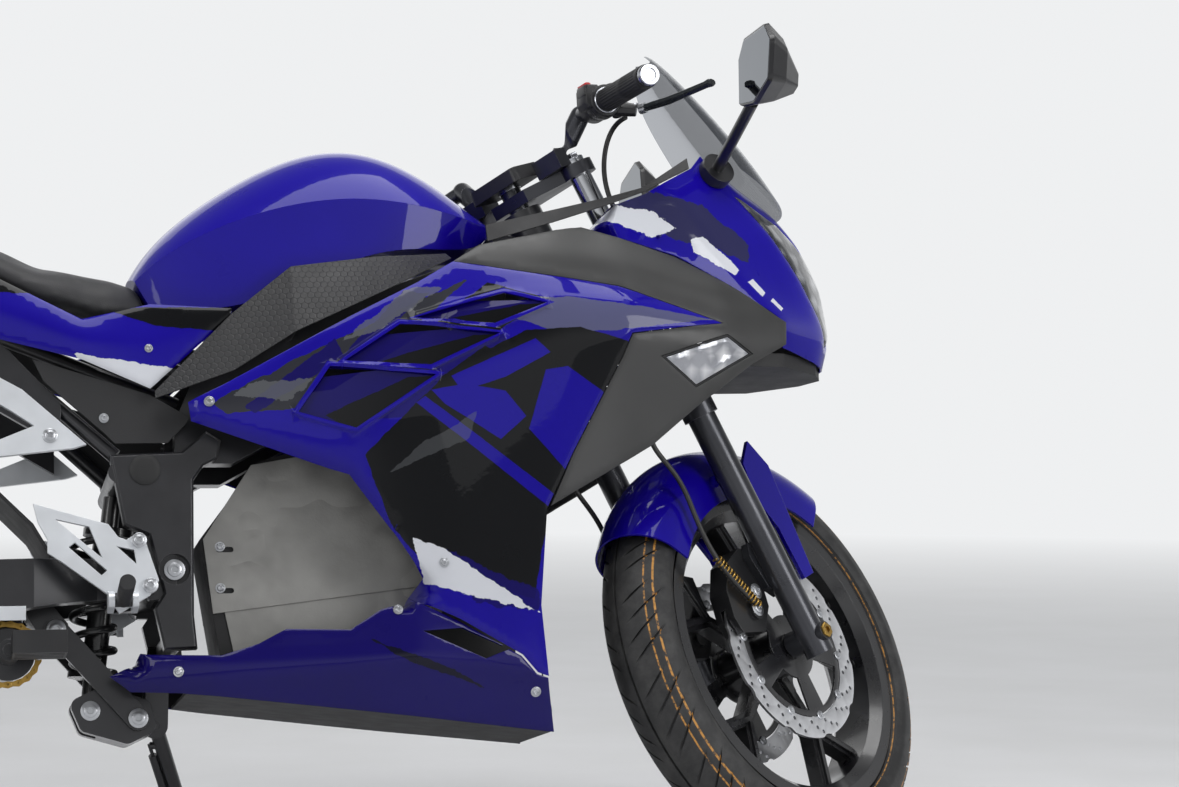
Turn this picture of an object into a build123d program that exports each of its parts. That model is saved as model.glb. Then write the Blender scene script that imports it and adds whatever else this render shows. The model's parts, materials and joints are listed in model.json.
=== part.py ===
from build123d import *
import os
from math import asin, atan2, cos, degrees, hypot, pi, radians, sin, sqrt, tan

os.makedirs("parts", exist_ok=True)

# Electric bicycle with a sport-motorcycle body, parked on its side stand, in millimetres.
# Each piece is drawn on an upright, straight bike: +X forward, +Y left, +Z up from the road.
# finish() then turns the steered pieces to the left stop and leans everything onto the stand.

# Stance
front_axle_x = 675.0
rear_axle_x = -725.0
rake = 25.0
fork_offset = 38.0
lean = 11.0
steer_left = 38.0

# Wheels and tyres
front_radius = 293.0
front_crown = 55.0
rear_radius = 305.0
rear_crown = 65.0
bead_radius = 216.0
rim_depth = 22.0
rim_half_width = 45.0
rear_rim_half_width = 52.0
axle_radius = 8.0
shaft_clearance = 0.05
seat_gap = 0.3

# Discs
disc_radius = 133.0
disc_ring = 30.0
disc_wall = 4.0
disc_wave = 16.0
disc_wave_depth = 3.5
front_disc_y = 52.0
rear_disc_y = 78.0
rear_disc_radius = 110.0

# Fork, measured along the legs from the axle
leg_y = 92.0
tube_radius = 15.5
slider_radius = 20.0
collar_radius = 25.0
slider_top = 363.0
collar_length = 26.0
lug_wall = 12.0
axle_nut_radius = 13.0
axle_reach = leg_y + slider_radius + 6
axle_bore = 5.0
lower_yoke_at = 520.0
upper_yoke_at = 712.0
lower_yoke_wall = 30.0
upper_yoke_wall = 18.0
tube_top = 736.0
stem_radius = 15.0
headstock_radius = 29.0

# Frame
plate_outer_y = 125.0
plate_wall = 24.0
pivot_x = -153.0
pivot_z = 404.0
pivot_bore = 20.0
spar_outer_y = 100.0
spar_wall = 28.0
rail_radius = 10.0
arm_inner_y = 95.0
arm_outer_y = 121.0
spool_x = -655.0
spool_bore = 4.0
spool_depth = 16.0

# Bodywork
skin_wall = 4.0
panel_gap = 0.6

# Crank drive
crank_x = -361.0
crank_z = 302.0
crank_length = 35.0
chain_y = -82.0
chain_width = 6.0
sprocket_radius = 34.0
chain_height = 9.0
pedal_inner_y = 156.0
pedal_width = 84.0

# Side stand: pivot on the left, foot ahead of it
stand_pivot = (-165.0, 92.0, 226.0)
stand_foot_x = -100.0
stand_foot_y = 200.0
stand_axis_tilt = 24.3

# Shift that puts the origin under the middle of the parked bike
origin_shift_x = 53.09
origin_shift_y = -198.43

# Steering axis and the parked stance
axis_foot = Vector(front_axle_x - fork_offset * cos(radians(rake)), 0, front_radius - fork_offset * sin(radians(rake)))
leg_dir = Vector(-sin(radians(rake)), 0, cos(radians(rake)))
steering_axis = Axis(axis_foot, leg_dir)


def on_leg(distance, y=0.0):
    """Point on the line of the fork legs, that far up from the axle."""
    return Vector(front_axle_x, y, front_radius) + leg_dir * distance


def on_stem(distance):
    """Point on the steering axis, that far up from the axle's height."""
    return axis_foot + leg_dir * distance


def parked_point(point, pitch, lift, steered=False):
    """Where a point of the upright bike stands once it is parked."""
    spot = Vertex(*point)
    if steered:
        spot = spot.rotate(steering_axis, steer_left)
    return spot.rotate(Axis.Y, pitch).rotate(Axis.X, -lean).center() + Vector(0, 0, lift)


def tyre_low(axle_x, radius, crown, pitch, steered):
    """Height of a leaning tyre's lowest point."""
    centre = parked_point((axle_x, 0, radius), pitch, 0, steered)
    side = parked_point((axle_x, -1, radius), pitch, 0, steered) - centre
    return centre.Z - (radius - crown) * sqrt(1 - side.Z ** 2) - crown


def tyre_tilt(axle_x, radius, steered):
    """Angle in degrees between a parked wheel's plane and the vertical."""
    centre = parked_point((axle_x, 0, radius), 0, 0, steered)
    side = parked_point((axle_x, -1, radius), 0, 0, steered) - centre
    return degrees(asin(abs(side.Z)))


def find_stance():
    """Pitch and lift that put both tyres on the ground."""
    pitch = 0.0
    for _ in range(8):
        front = tyre_low(front_axle_x, front_radius, front_crown, pitch, True)
        rear = tyre_low(rear_axle_x, rear_radius, rear_crown, pitch, False)
        pitch += degrees((front - rear) / (front_axle_x - rear_axle_x))
    return pitch, -rear


stance_pitch, stance_lift = find_stance()


def finish(node, piece, steered=False):
    """Stand a finished piece in its parked place and write its file."""
    placed = piece.part
    if steered:
        placed = placed.rotate(steering_axis, steer_left)
    placed = placed.rotate(Axis.Y, stance_pitch).rotate(Axis.X, -lean)
    placed = placed.translate((origin_shift_x, origin_shift_y, stance_lift))
    placed.label = node
    export_step(placed, f"parts/{node}.step")


def outline(*points, mode=Mode.ADD):
    """Closed face through the points, in the sketch that is open."""
    Polygon(*points, align=None, mode=mode)


def side_plane(y):
    """Side view at y on the right, its sketch in x and z, extruding outwards to the right."""
    return Plane.XZ.offset(y)


def mirror_left():
    """Add the left-hand copy of the part that is open."""
    mirror(about=Plane.XZ)


def from_axle(*points):
    """Points in x and z given from the front axle, as points of the bike."""
    return [(front_axle_x + x, front_radius + z) for x, z in points]


def rod(start, end, radius):
    """Round bar between two points, in the part that is open."""
    start, end = Vector(*start), Vector(*end)
    with BuildSketch(Plane(origin=start, z_dir=end - start)) as section:
        Circle(radius)
    extrude(section.sketch, amount=(end - start).length)


def strip_face(x, rows, wall, inset):
    """Section of the right-hand skin at x: a wall inside the (half width, height) rows, set in by an inset."""
    outer = [(inset - y, z) for y, z in rows]
    inner = [(inset - y + wall, z) for y, z in reversed(rows)]
    with BuildSketch(Plane.YZ.offset(x)) as section:
        outline(*outer, *inner)
    return section.sketch


def skin(stations, wall=skin_wall, inset=0.0):
    """Right-hand skin lofted through a table of x and (half width, height) rows."""
    loft([strip_face(x, rows, wall, inset) for x, rows in stations], ruled=True)


def room_under(stations, inset=skin_wall + seat_gap):
    """Solid from the middle plane out to an inset under a right-hand skin."""
    faces = []
    for x, rows in stations:
        with BuildSketch(Plane.YZ.offset(x)) as section:
            outline((0, rows[0][1]), *[(inset - y, z) for y, z in rows], (0, rows[-1][1]))
        faces.append(section.sketch)
    return Solid.make_loft([face.face().outer_wire() for face in faces], ruled=True)


def peg(start, end, radius, room):
    """Round stay from a frame piece outwards, ending just under the skin of a panel."""
    start, end = Vector(*start), Vector(*end)
    bar = Solid.make_cylinder(radius, (end - start).length, Plane(origin=start, z_dir=end - start))
    add(bar & room)


# Tyres: a round crown in bands, one edge of which meets the road, on straight walls down to the bead
def tyre_profile(radius, crown, bead_half, contact):
    """Tyre section in y and distance from the axle, with band edges at the angle that meets the road."""
    angles = [contact + (84 - contact) * share for share in (1.0, 0.66, 0.33, 0.0)]
    right = [(crown * sin(radians(a)), radius - crown + crown * cos(radians(a))) for a in angles]
    left = [(-y, distance) for y, distance in reversed(right)]
    bead = [(-bead_half, bead_radius + 11), (2 - bead_half, bead_radius + seat_gap)]
    outline(*right, *left, *bead, *[(-y, distance) for y, distance in reversed(bead)])


def wheel_plane(axle_x, radius):
    """Plane through the axle, its sketch in y and distance above the axle."""
    return Plane(origin=(axle_x, 0, radius), x_dir=(0, 1, 0), z_dir=(1, 0, 0))


def axle_line(axle_x, radius):
    """Axis along a wheel's axle."""
    return Axis((axle_x, 0, radius), (0, 1, 0))


tyres = [
    ("front_tyre", front_axle_x, front_radius, front_crown, rim_half_width - 5, True),
    ("rear_tyre", rear_axle_x, rear_radius, rear_crown, rear_rim_half_width - 5, False),
]
for node, axle_x, radius, crown, bead_half, steered in tyres:
    with BuildPart() as tyre:
        with BuildSketch(wheel_plane(axle_x, radius)):
            tyre_profile(radius, crown, bead_half, tyre_tilt(axle_x, radius, steered))
        revolve(axis=axle_line(axle_x, radius))
    finish(node, tyre, steered)


def rim_ring(half_width):
    """Rim section: drop-centre ring with a flange each side."""
    flange = bead_radius + 9
    outline(
        (-half_width, flange), (4 - half_width, flange), (4 - half_width, bead_radius),
        (half_width - 4, bead_radius), (half_width - 4, flange), (half_width, flange),
        (half_width, bead_radius - 9), (half_width - 14, bead_radius - rim_depth),
        (14 - half_width, bead_radius - rim_depth), (-half_width, bead_radius - 9),
    )


spoke_count = 5
spoke_end = bead_radius - rim_depth + 2
fork_at = 0.55 * bead_radius
spoke_half_wall = 11.0
spoke_rib_rise = 5.0
hub_radius = 36.0
with BuildPart() as front_rim:
    with BuildSketch(wheel_plane(front_axle_x, front_radius)):
        rim_ring(rim_half_width)
    revolve(axis=axle_line(front_axle_x, front_radius))
    with BuildSketch(Plane((front_axle_x, spoke_half_wall, front_radius), x_dir=(1, 0, 0), z_dir=(0, -1, 0))):
        with PolarLocations(0, spoke_count, start_angle=90):
            outline((20, -12), (fork_at, -9), (spoke_end, -62), (spoke_end + 4, -44), (fork_at + 17, 0),
                    (spoke_end + 4, 44), (spoke_end, 62), (fork_at, 9), (20, 12))
    extrude(amount=2 * spoke_half_wall)
    rib_half = spoke_half_wall + spoke_rib_rise
    with BuildSketch(Plane((front_axle_x, rib_half, front_radius), x_dir=(1, 0, 0), z_dir=(0, -1, 0))):
        with PolarLocations(0, spoke_count, start_angle=90):
            outline((20, -7), (fork_at + 4, -4), (spoke_end + 2, -56), (spoke_end + 2, -48), (fork_at + 10, 0),
                    (spoke_end + 2, 48), (spoke_end + 2, 56), (fork_at + 4, 4), (20, 7))
    extrude(amount=2 * rib_half)
    with Locations(Plane((front_axle_x, 0, front_radius), x_dir=(1, 0, 0), z_dir=(0, 1, 0))):
        Cylinder(hub_radius, 2 * (front_disc_y - disc_wall / 2))
        Cylinder(axle_radius + shaft_clearance, 200, mode=Mode.SUBTRACT)
finish("front_rim", front_rim, True)


def disc_sketch(radius, ring, holes, arms, boss):
    """Brake disc face: drilled ring with a waved edge, arms and centre boss."""
    Circle(radius)
    with PolarLocations(radius + disc_wave - disc_wave_depth, 2 * arms, start_angle=18):
        Circle(disc_wave, mode=Mode.SUBTRACT)
    Circle(radius - ring, mode=Mode.SUBTRACT)
    with PolarLocations(0, arms):
        Rectangle(radius - ring + 6, 12, align=(Align.MIN, Align.CENTER))
    Circle(boss)
    with PolarLocations(radius - ring / 2, holes):
        Circle(4, mode=Mode.SUBTRACT)


with BuildPart() as front_discs:
    for side in (-1, 1):
        low = side * front_disc_y - disc_wall / 2 + seat_gap * side
        with BuildSketch(Plane((front_axle_x, low, front_radius), x_dir=(0, 0, 1), z_dir=(0, 1, 0))):
            disc_sketch(disc_radius, disc_ring, 10, 5, 40)
            Circle(axle_radius + 10, mode=Mode.SUBTRACT)
        extrude(amount=disc_wall)
finish("front_discs", front_discs, True)

motor_radius = 108.0
motor_half_width = 44.0
with BuildPart() as rear_rim:
    with BuildSketch(wheel_plane(rear_axle_x, rear_radius)):
        rim_ring(rear_rim_half_width)
    revolve(axis=axle_line(rear_axle_x, rear_radius))
    with BuildSketch(Plane((rear_axle_x, spoke_half_wall, rear_radius), x_dir=(1, 0, 0), z_dir=(0, -1, 0))):
        with PolarLocations(0, spoke_count, start_angle=90):
            outline((motor_radius - 18, -24), (spoke_end, -40), (spoke_end, 40), (motor_radius - 18, 24))
    extrude(amount=2 * spoke_half_wall)
    with Locations(Plane((rear_axle_x, 0, rear_radius), x_dir=(1, 0, 0), z_dir=(0, 1, 0))):
        Cylinder(motor_radius, 2 * motor_half_width)
        Cylinder(hub_radius, 2 * (rear_disc_y - disc_wall / 2))
    with BuildSketch(Plane((rear_axle_x, chain_y + chain_width / 2 - 1, rear_radius), x_dir=(1, 0, 0), z_dir=(0, -1, 0))):
        Circle(sprocket_radius - 0.5)
    extrude(amount=chain_width - 2)
    rod((rear_axle_x, -70, rear_radius), (rear_axle_x, chain_y, rear_radius), 24)
    with Locations(Plane((rear_axle_x, 0, rear_radius), x_dir=(1, 0, 0), z_dir=(0, 1, 0))):
        Cylinder(axle_radius + shaft_clearance, 300, mode=Mode.SUBTRACT)
finish("rear_rim", rear_rim)

with BuildPart() as rear_disc:
    with BuildSketch(Plane((rear_axle_x, rear_disc_y - disc_wall / 2 + seat_gap, rear_radius),
                           x_dir=(0, 0, 1), z_dir=(0, 1, 0))):
        disc_sketch(rear_disc_radius, disc_ring, 10, 5, 40)
        Circle(axle_radius + 10, mode=Mode.SUBTRACT)
    extrude(amount=disc_wall)
finish("rear_disc", rear_disc)

# Fork
caliper_face = leg_y - slider_radius - lug_wall / 3 - seat_gap
caliper_lug = from_axle((-20, 79), (-57, 139), (-83, 131), (-85, 111), (-56, 70), (-35, 62))
caliper_outline = from_axle((-117, -1), (-69, 7), (-49, 47), (-53, 79), (-69, 127), (-91, 127), (-121, 101), (-135, 57),
                            (-130, 19))
pistons = from_axle((-77, 63), (-82, 33))
blade_outline = from_axle((-35, 267), (-14, 306), (23, 275), (74, 117), (51, 105), (15, 177), (-20, 212))
with BuildPart() as fork_sliders:
    for y in (-leg_y, leg_y):
        rod(on_leg(-26, y), on_leg(slider_top, y), slider_radius)
        rod(on_leg(slider_top - collar_length, y), on_leg(slider_top, y), collar_radius)
    with BuildSketch(side_plane(leg_y - slider_radius - lug_wall / 3)):
        outline(*caliper_lug)
    extrude(amount=lug_wall)
    with BuildSketch(side_plane(-leg_y + slider_radius - lug_wall * 2 / 3)):
        outline(*caliper_lug)
    extrude(amount=lug_wall)
    with Locations(Plane((front_axle_x, 0, front_radius), x_dir=(1, 0, 0), z_dir=(0, 1, 0))):
        Cylinder(axle_nut_radius, 2 * axle_reach)
        Cylinder(axle_nut_radius, 2 * (leg_y + slider_radius - 4), mode=Mode.SUBTRACT)
        Cylinder(hub_radius / 2, 2 * leg_y - 2 * slider_radius + 20)
        Cylinder(hub_radius / 2 + 0.5, 2 * (front_disc_y + disc_wall + 1), mode=Mode.SUBTRACT)
        Cylinder(axle_radius, 2 * axle_reach)
        Cylinder(axle_bore, 2 * axle_reach + 2, mode=Mode.SUBTRACT)
    with BuildSketch(Plane(origin=on_leg(slider_top, 0), z_dir=leg_dir, x_dir=(0, 1, 0))):
        with Locations((leg_y, 0), (-leg_y, 0)):
            Circle(tube_radius + shaft_clearance)
    extrude(amount=-60, mode=Mode.SUBTRACT)
finish("fork_sliders", fork_sliders, True)

with BuildPart() as fork_tubes:
    for y in (-leg_y, leg_y):
        rod(on_leg(slider_top - 58, y), on_leg(tube_top, y), tube_radius)
finish("fork_tubes", fork_tubes, True)

yokes = [(lower_yoke_at, lower_yoke_wall, 26.0), (upper_yoke_at, upper_yoke_wall, 24.0)]
with BuildPart() as triple_clamps:
    for at, wall, boss in yokes:
        with BuildSketch(Plane(origin=on_leg(at, 0), z_dir=leg_dir, x_dir=(0, 1, 0))):
            outline((-leg_y, -boss), (leg_y, -boss), (leg_y, boss / 2), (32, 54), (-32, 54), (-leg_y, boss / 2))
            with Locations((leg_y, 0), (-leg_y, 0)):
                Circle(boss)
                Circle(tube_radius + shaft_clearance, mode=Mode.SUBTRACT)
        extrude(amount=wall)
    rod(on_stem(lower_yoke_at + 4), on_stem(upper_yoke_at + upper_yoke_wall + 12), stem_radius)
finish("triple_clamps", triple_clamps, True)

# Handlebar: a cast arm rises from the upper yoke each side to a swept and drooping grip
bar_base = on_leg(upper_yoke_at)
bar_foot = bar_base + Vector(-22, -78, 28)
grip_inner = bar_base + Vector(-50, -200, 49)
grip_outer = bar_base + Vector(-113, -325, 0)
bar_knee_share = -0.64
bar_radius = 11.0


def along_grip(share):
    """Point on the right grip's line, as a share of the way from its inner end."""
    return grip_inner + (grip_outer - grip_inner) * share


with BuildPart() as handlebar:
    yoke_top = Plane(origin=on_leg(upper_yoke_at + upper_yoke_wall + seat_gap, 0), z_dir=leg_dir, x_dir=(0, 1, 0))
    with BuildSketch(yoke_top):
        with Locations((-76, 20)):
            Rectangle(44, 40)
    extrude(amount=26)
    rod(bar_foot, along_grip(bar_knee_share), 14)
    with Locations(along_grip(bar_knee_share)):
        Sphere(14)
    rod(along_grip(bar_knee_share), grip_outer, bar_radius)
    with BuildSketch(Plane(origin=on_leg(upper_yoke_at, 0), z_dir=leg_dir, x_dir=(0, 1, 0))):
        with Locations((-leg_y, 0)):
            Circle(tube_radius + seat_gap)
    extrude(amount=100, mode=Mode.SUBTRACT)
    mirror_left()
finish("handlebar", handlebar, True)


def sleeve(start, end, radius, bore, mode=Mode.ADD):
    """Tube between two shares of the grip's length, solid where it has no bore."""
    low, high = along_grip(start), along_grip(end)
    with BuildSketch(Plane(origin=low, z_dir=high - low)) as section:
        Circle(radius)
        if bore:
            Circle(bore, mode=Mode.SUBTRACT)
    extrude(section.sketch, amount=(high - low).length, mode=mode)


with BuildPart() as dash:
    with BuildSketch(Plane(origin=on_leg(upper_yoke_at + upper_yoke_wall + 12 + seat_gap), z_dir=leg_dir,
                           x_dir=(0, 1, 0))) as screen_face:
        with Locations((0, fork_offset + 2)):
            RectangleRounded(92, 66, 10)
    extrude(amount=20, taper=8)
finish("dash", dash, True)

with BuildPart() as grips:
    sleeve(0.04, 1.0, 16.5, bar_radius + seat_gap)
    rod(along_grip(1.0), along_grip(1.09), 15)
    mirror_left()
finish("grips", grips, True)

lever_points = [bar_base + Vector(-2, -212, 42), bar_base + Vector(8, -262, 34), bar_base + Vector(10, -335, 23)]
reservoir_at = bar_base + Vector(-12, -186, 66)
with BuildPart() as controls:
    sleeve(-0.34, 0.035, 22, bar_radius + seat_gap)
    with Locations(Plane(along_grip(-0.15) + Vector(-20, 0, 2), z_dir=along_grip(0.0) - along_grip(1.0))):
        Box(26, 34, 38)
    rod(along_grip(-0.15) + Vector(18, 0, 0), lever_points[0], 10)
    rod(reservoir_at - Vector(0, 0, 22), reservoir_at, 7)
    rod(reservoir_at, reservoir_at + Vector(0, 0, 22), 17)
    for start, end in zip(lever_points, lever_points[1:]):
        with Locations(start):
            Sphere(7)
        rod(start, end, 6)
    with Locations(lever_points[-1]):
        Sphere(8)
    sleeve(-0.45, 0.035, bar_radius + seat_gap, 0, Mode.SUBTRACT)
    mirror_left()
finish("controls", controls, True)

# Brake hoses: from each caliper up the outside of its fork leg to the lever
hose_radius = 3.5
hose_side = -leg_y - 34
hose_low = from_axle((-84, 40), (-127, 69), (-155, 99), (-181, 154), (-206, 212), (-242, 256))
with BuildPart() as brake_hoses:
    with BuildLine() as hose_path:
        Spline(*[(x, -caliper_face - 5 - hose_radius - seat_gap, z) for x, z in hose_low],
               on_leg(400, hose_side + 6), on_leg(470, hose_side), on_leg(560, hose_side), on_leg(690, hose_side),
               bar_base + Vector(10, -150, 40), lever_points[0] + Vector(2, 22, 1))
    with BuildSketch(Plane(origin=hose_path.line @ 0, z_dir=hose_path.line % 0)):
        Circle(hose_radius)
    sweep(path=hose_path.line)
    mirror_left()
finish("brake_hoses", brake_hoses, True)

# Front mudguard: an arched shell between the legs
guard_front = 62.0
guard_rear = 154.0
guard_gap = 16.0
guard_half_width = front_crown + 8
guard_centre = front_radius + guard_gap - guard_half_width
guard_wall = 3.0
with BuildPart() as front_fender:
    guard_plane = Plane(origin=(front_axle_x, 0, front_radius), x_dir=(0, 1, 0),
                        z_dir=(sin(radians(guard_front)), 0, -cos(radians(guard_front))))
    with BuildSketch(guard_plane):
        with BuildLine():
            skirt = guard_centre - 26
            inner = guard_half_width - guard_wall
            Line((-guard_half_width, skirt), (-guard_half_width, guard_centre))
            ThreePointArc((-guard_half_width, guard_centre), (0, guard_centre + guard_half_width),
                          (guard_half_width, guard_centre))
            Polyline((guard_half_width, guard_centre), (guard_half_width, skirt), (inner, skirt),
                     (inner, guard_centre))
            ThreePointArc((inner, guard_centre), (0, guard_centre + inner), (-inner, guard_centre))
            Polyline((-inner, guard_centre), (-inner, skirt), (-guard_half_width, skirt))
        make_face()
    revolve(axis=Axis((front_axle_x, 0, front_radius), (0, -1, 0)), revolution_arc=guard_rear - guard_front)
    with BuildSketch(side_plane(guard_half_width - guard_wall)):
        outline(*blade_outline)
    extrude(amount=2 * guard_wall)
    rod(on_leg(250, 1 - guard_half_width), on_leg(250, slider_radius + seat_gap - leg_y), 9)
    mirror_left()
finish("front_fender", front_fender, True)

with BuildPart() as front_calipers:
    with BuildSketch(side_plane(2 * front_disc_y - caliper_face)):
        outline(*caliper_outline)
    extrude(amount=2 * (caliper_face - front_disc_y))
    with BuildSketch(side_plane(front_disc_y - 5)):
        with Locations((front_axle_x, front_radius)):
            Circle(disc_radius + 3)
    extrude(amount=10, mode=Mode.SUBTRACT)
    for x, z in pistons:
        rod((x, 1 - caliper_face, z), (x, -caliper_face - 5, z), 11)
        rod((x, caliper_face - 2 * front_disc_y - 1, z), (x, caliper_face - 2 * front_disc_y + 5, z), 11)
    mirror_left()
finish("front_calipers", front_calipers, True)

stand_axis = Vector(0, cos(radians(stand_axis_tilt)), sin(radians(stand_axis_tilt)))

# Side skins, sections at x: (half width, height) from the bottom up
tail_stations = [
    (-77, [(139, 734), (139, 740), (138, 746)]),
    (-183, [(136, 636), (138, 700), (130, 752)]),
    (-270, [(140, 673), (146, 705), (134, 730)]),
    (-385, [(136, 702), (142, 745), (132, 788)]),
    (-600, [(106, 768), (114, 820), (110, 872)]),
    (-870, [(44, 856), (48, 882), (44, 908)]),
]
knee_stations = [
    (-178, [(150, 622), (148, 632)]),
    (-79, [(172, 655), (146, 735)]),
    (0, [(188, 704), (146, 800)]),
    (110, [(196, 755), (146, 815)]),
    (206, [(190, 804), (150, 820)]),
]
cowl_stations = [
    (-142, [(158, 560), (176, 592), (179, 604), (176, 616), (168, 640), (150, 700)]),
    (45, [(168, 490), (197, 548), (205, 625), (199, 712), (190, 760), (160, 840)]),
    (150, [(156, 340), (214, 600), (217, 690), (201, 768), (192, 800), (160, 860)]),
    (207, [(150, 240), (222, 640), (221, 725), (198, 799), (190, 815), (162, 862)]),
    (345, [(120, 170), (226, 700), (221, 748), (195, 785), (190, 815), (162, 862)]),
    (440, [(148, 480), (221, 705), (217, 745), (192, 768), (188, 800), (158, 856)]),
    (580, [(136, 560), (186, 690), (187, 718), (176, 728), (170, 770), (138, 812)]),
    (690, [(96, 640), (126, 690), (130, 715), (128, 735), (122, 750), (98, 785)]),
]
belly_stations = [
    (-240, [(84, 232), (98, 262), (94, 300)]),
    (-100, [(128, 228), (150, 262), (148, 300)]),
    (66, [(132, 208), (168, 270), (165, 326)]),
    (150, [(132, 198), (172, 285), (164, 362)]),
    (345, [(108, 176), (140, 270), (148, 340)]),
]

# Nose, plan sections at a height: (x, half width) from the rear to the tip
nose_sections = [
    (690, [(560, 128), (690, 100), (752, 45), (772, 0)]),
    (741, [(480, 164), (680, 127), (760, 52), (789, 0)]),
    (809, [(380, 172), (600, 141), (735, 62), (782, 0)]),
    (869, [(330, 160), (560, 142), (690, 78), (756, 0)]),
    (918, [(300, 158), (520, 142), (640, 90), (716, 0)]),
    (978, [(300, 150), (480, 138), (575, 100), (640, 0)]),
]


def nose_plan(rows, inset):
    """Closed plan line of the nose, both sides, set in by an inset."""
    right = [(x - inset, inset - w) for x, w in rows[:-1]]
    left = [(x, -y) for x, y in reversed(right)]
    return [*right, (rows[-1][0] - 1.5 * inset, 0), *left]


def nose_skin(inset=0.0):
    """Nose skin, lofted up through its plan sections and set in by an inset."""
    sections = []
    for z, rows in nose_sections:
        with BuildSketch(Plane.XY.offset(z)) as section:
            outline(*nose_plan(rows, inset), *reversed(nose_plan(rows, inset + skin_wall)))
        sections.append(section.sketch)
    loft(sections, ruled=True)


def nose_room(inset):
    """Solid that fills the nose up to an inset under its outer face."""
    faces = []
    for z, rows in nose_sections:
        with BuildSketch(Plane.XY.offset(z)) as section:
            outline(*nose_plan(rows, inset))
        faces.append(section.sketch)
    return Solid.make_loft([face.face().outer_wire() for face in faces], ruled=True)


# Frame: headstock, two spars and the cast plates round the swingarm pivot
plate_outline = [
    (-235, 553), (-143, 557), (-111, 584), (-92, 572), (-97, 548), (-115, 539), (-128, 520), (-129, 344),
    (-125, 302), (-167, 301), (-179, 355), (-167, 373), (-185, 448), (-217, 462), (-228, 519),
]
bracket_y = 140.0
bracket_bolts = [(-200, 438), (-186, 380)]
shock_low = (-256.0, 232.0)
shock_length = 300.0
shock_tilt = 6.4
cross_radius = 14.0


def shock_point(distance):
    """Point on the shock's line, that far up from its lower eye."""
    run, rise = distance * sin(radians(shock_tilt)), distance * cos(radians(shock_tilt))
    return Vector(shock_low[0] + run, 0, shock_low[1] + rise)


def frame_plate():
    """Right-hand pivot plate with a bevelled outer border and a recess round the pivot bolt."""
    with BuildPart() as plate:
        with BuildSketch(side_plane(plate_outer_y - plate_wall)) as section:
            outline(*plate_outline)
        extrude(section.sketch, amount=plate_wall - plate_bevel)
        with BuildSketch(side_plane(plate_outer_y - plate_bevel)) as border:
            outline(*plate_outline)
        extrude(border.sketch, amount=plate_bevel, taper=45)
        with BuildSketch(side_plane(plate_outer_y - plate_wall + 8)) as recess:
            with Locations((pivot_x, pivot_z)):
                Circle(pivot_bore)
        extrude(recess.sketch, amount=plate_wall, mode=Mode.SUBTRACT)
    return plate.part


plate_bevel = 3.0
under_cover_y = 122.0
spar_outline = [(-150, 545), (-75, 545), (290, 745), (310, 850), (270, 835), (-110, 690), (-150, 600)]
with BuildPart() as main_frame:
    add(frame_plate())
    with BuildSketch(side_plane(plate_outer_y - plate_wall)):
        outline((-200, 453), (-150, 453), (-150, 366), (-186, 366))
    extrude(amount=14)
    for x, z in bracket_bolts:
        rod((x, -plate_outer_y + plate_wall, z), (x, seat_gap - bracket_y, z), 10)
    with BuildSketch(side_plane(spar_outer_y - spar_wall)):
        outline(*spar_outline)
    extrude(amount=spar_wall + 2)
    peg((0, 6 - spar_outer_y, 715), (0, -240, 715), 6, room_under(knee_stations))
    rod((-146, 6 - spar_outer_y, 600), (-146, seat_gap - under_cover_y, 600), 6)
    mirror_left()
    with BuildSketch(Plane.XY.offset(804)):
        outline((280, -spar_outer_y), (280, spar_outer_y), (372, 30), (372, -30))
    extrude(amount=60)
    for x, z in ((-150, 320), (-150, 520), (shock_point(shock_length).X, shock_point(shock_length).Z)):
        rod((x, -plate_outer_y + 2, z), (x, plate_outer_y - 2, z), cross_radius)
    for shift in (-18, 12.5):
        ear = Plane(origin=Vector(*stand_pivot) + stand_axis * shift, z_dir=stand_axis, x_dir=(1, 0, 0))
        with BuildSketch(ear):
            Circle(17)
            outline((-17, 0), (17, 0), (17, -100), (-10, -100))
        extrude(amount=5.5)
    rod(Vector(*stand_pivot) - stand_axis * 19, Vector(*stand_pivot) + stand_axis * 19, 6)
    rod((pivot_x, 6 - plate_outer_y, pivot_z), (pivot_x, plate_outer_y - 6, pivot_z), axle_radius - seat_gap)
    rod(on_stem(lower_yoke_at + lower_yoke_wall + 6), on_stem(upper_yoke_at - 6), headstock_radius)
    with BuildSketch(Plane(origin=on_stem(lower_yoke_at), z_dir=leg_dir)):
        Circle(stem_radius + shaft_clearance)
    extrude(amount=300, mode=Mode.SUBTRACT)
finish("main_frame", main_frame)

rail_knee = (-500.0, 800.0)
rail_end = (-820.0, 848.0)
pillion_y = 116.0
with BuildPart() as subframe:
    rod((-227, -108, 553), (rail_knee[0], -81, rail_knee[1]), rail_radius)
    rod((-130, -108, 661), (rail_knee[0], -81, rail_knee[1]), rail_radius)
    rod((rail_knee[0], -81, rail_knee[1]), (rail_end[0], -33, rail_end[1]), rail_radius)
    with BuildSketch(side_plane(104)):
        outline((-296, 622), (-372, 700), (-386, 618), (-296, 565))
    extrude(amount=pillion_y - 104 - seat_gap)
    peg((-385, -88, 757), (-385, -200, 757), 6, room_under(tail_stations))
    peg((-560, -70, 809), (-560, -200, 809), 6, room_under(tail_stations))
    for shape, outer_y, wall in ((plate_outline, plate_outer_y, plate_wall), (spar_outline, spar_outer_y + 2, spar_wall + 2)):
        with BuildSketch(side_plane(outer_y - wall - seat_gap)):
            outline(*shape)
            offset(amount=seat_gap, kind=Kind.INTERSECTION)
        extrude(amount=wall + 2 * seat_gap, mode=Mode.SUBTRACT)
    mirror_left()
    for x, y, z in ((-490, 81, 797), (-810, 33, 847)):
        rod((x, -y, z), (x, y, z), rail_radius)
finish("subframe", subframe)

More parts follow.
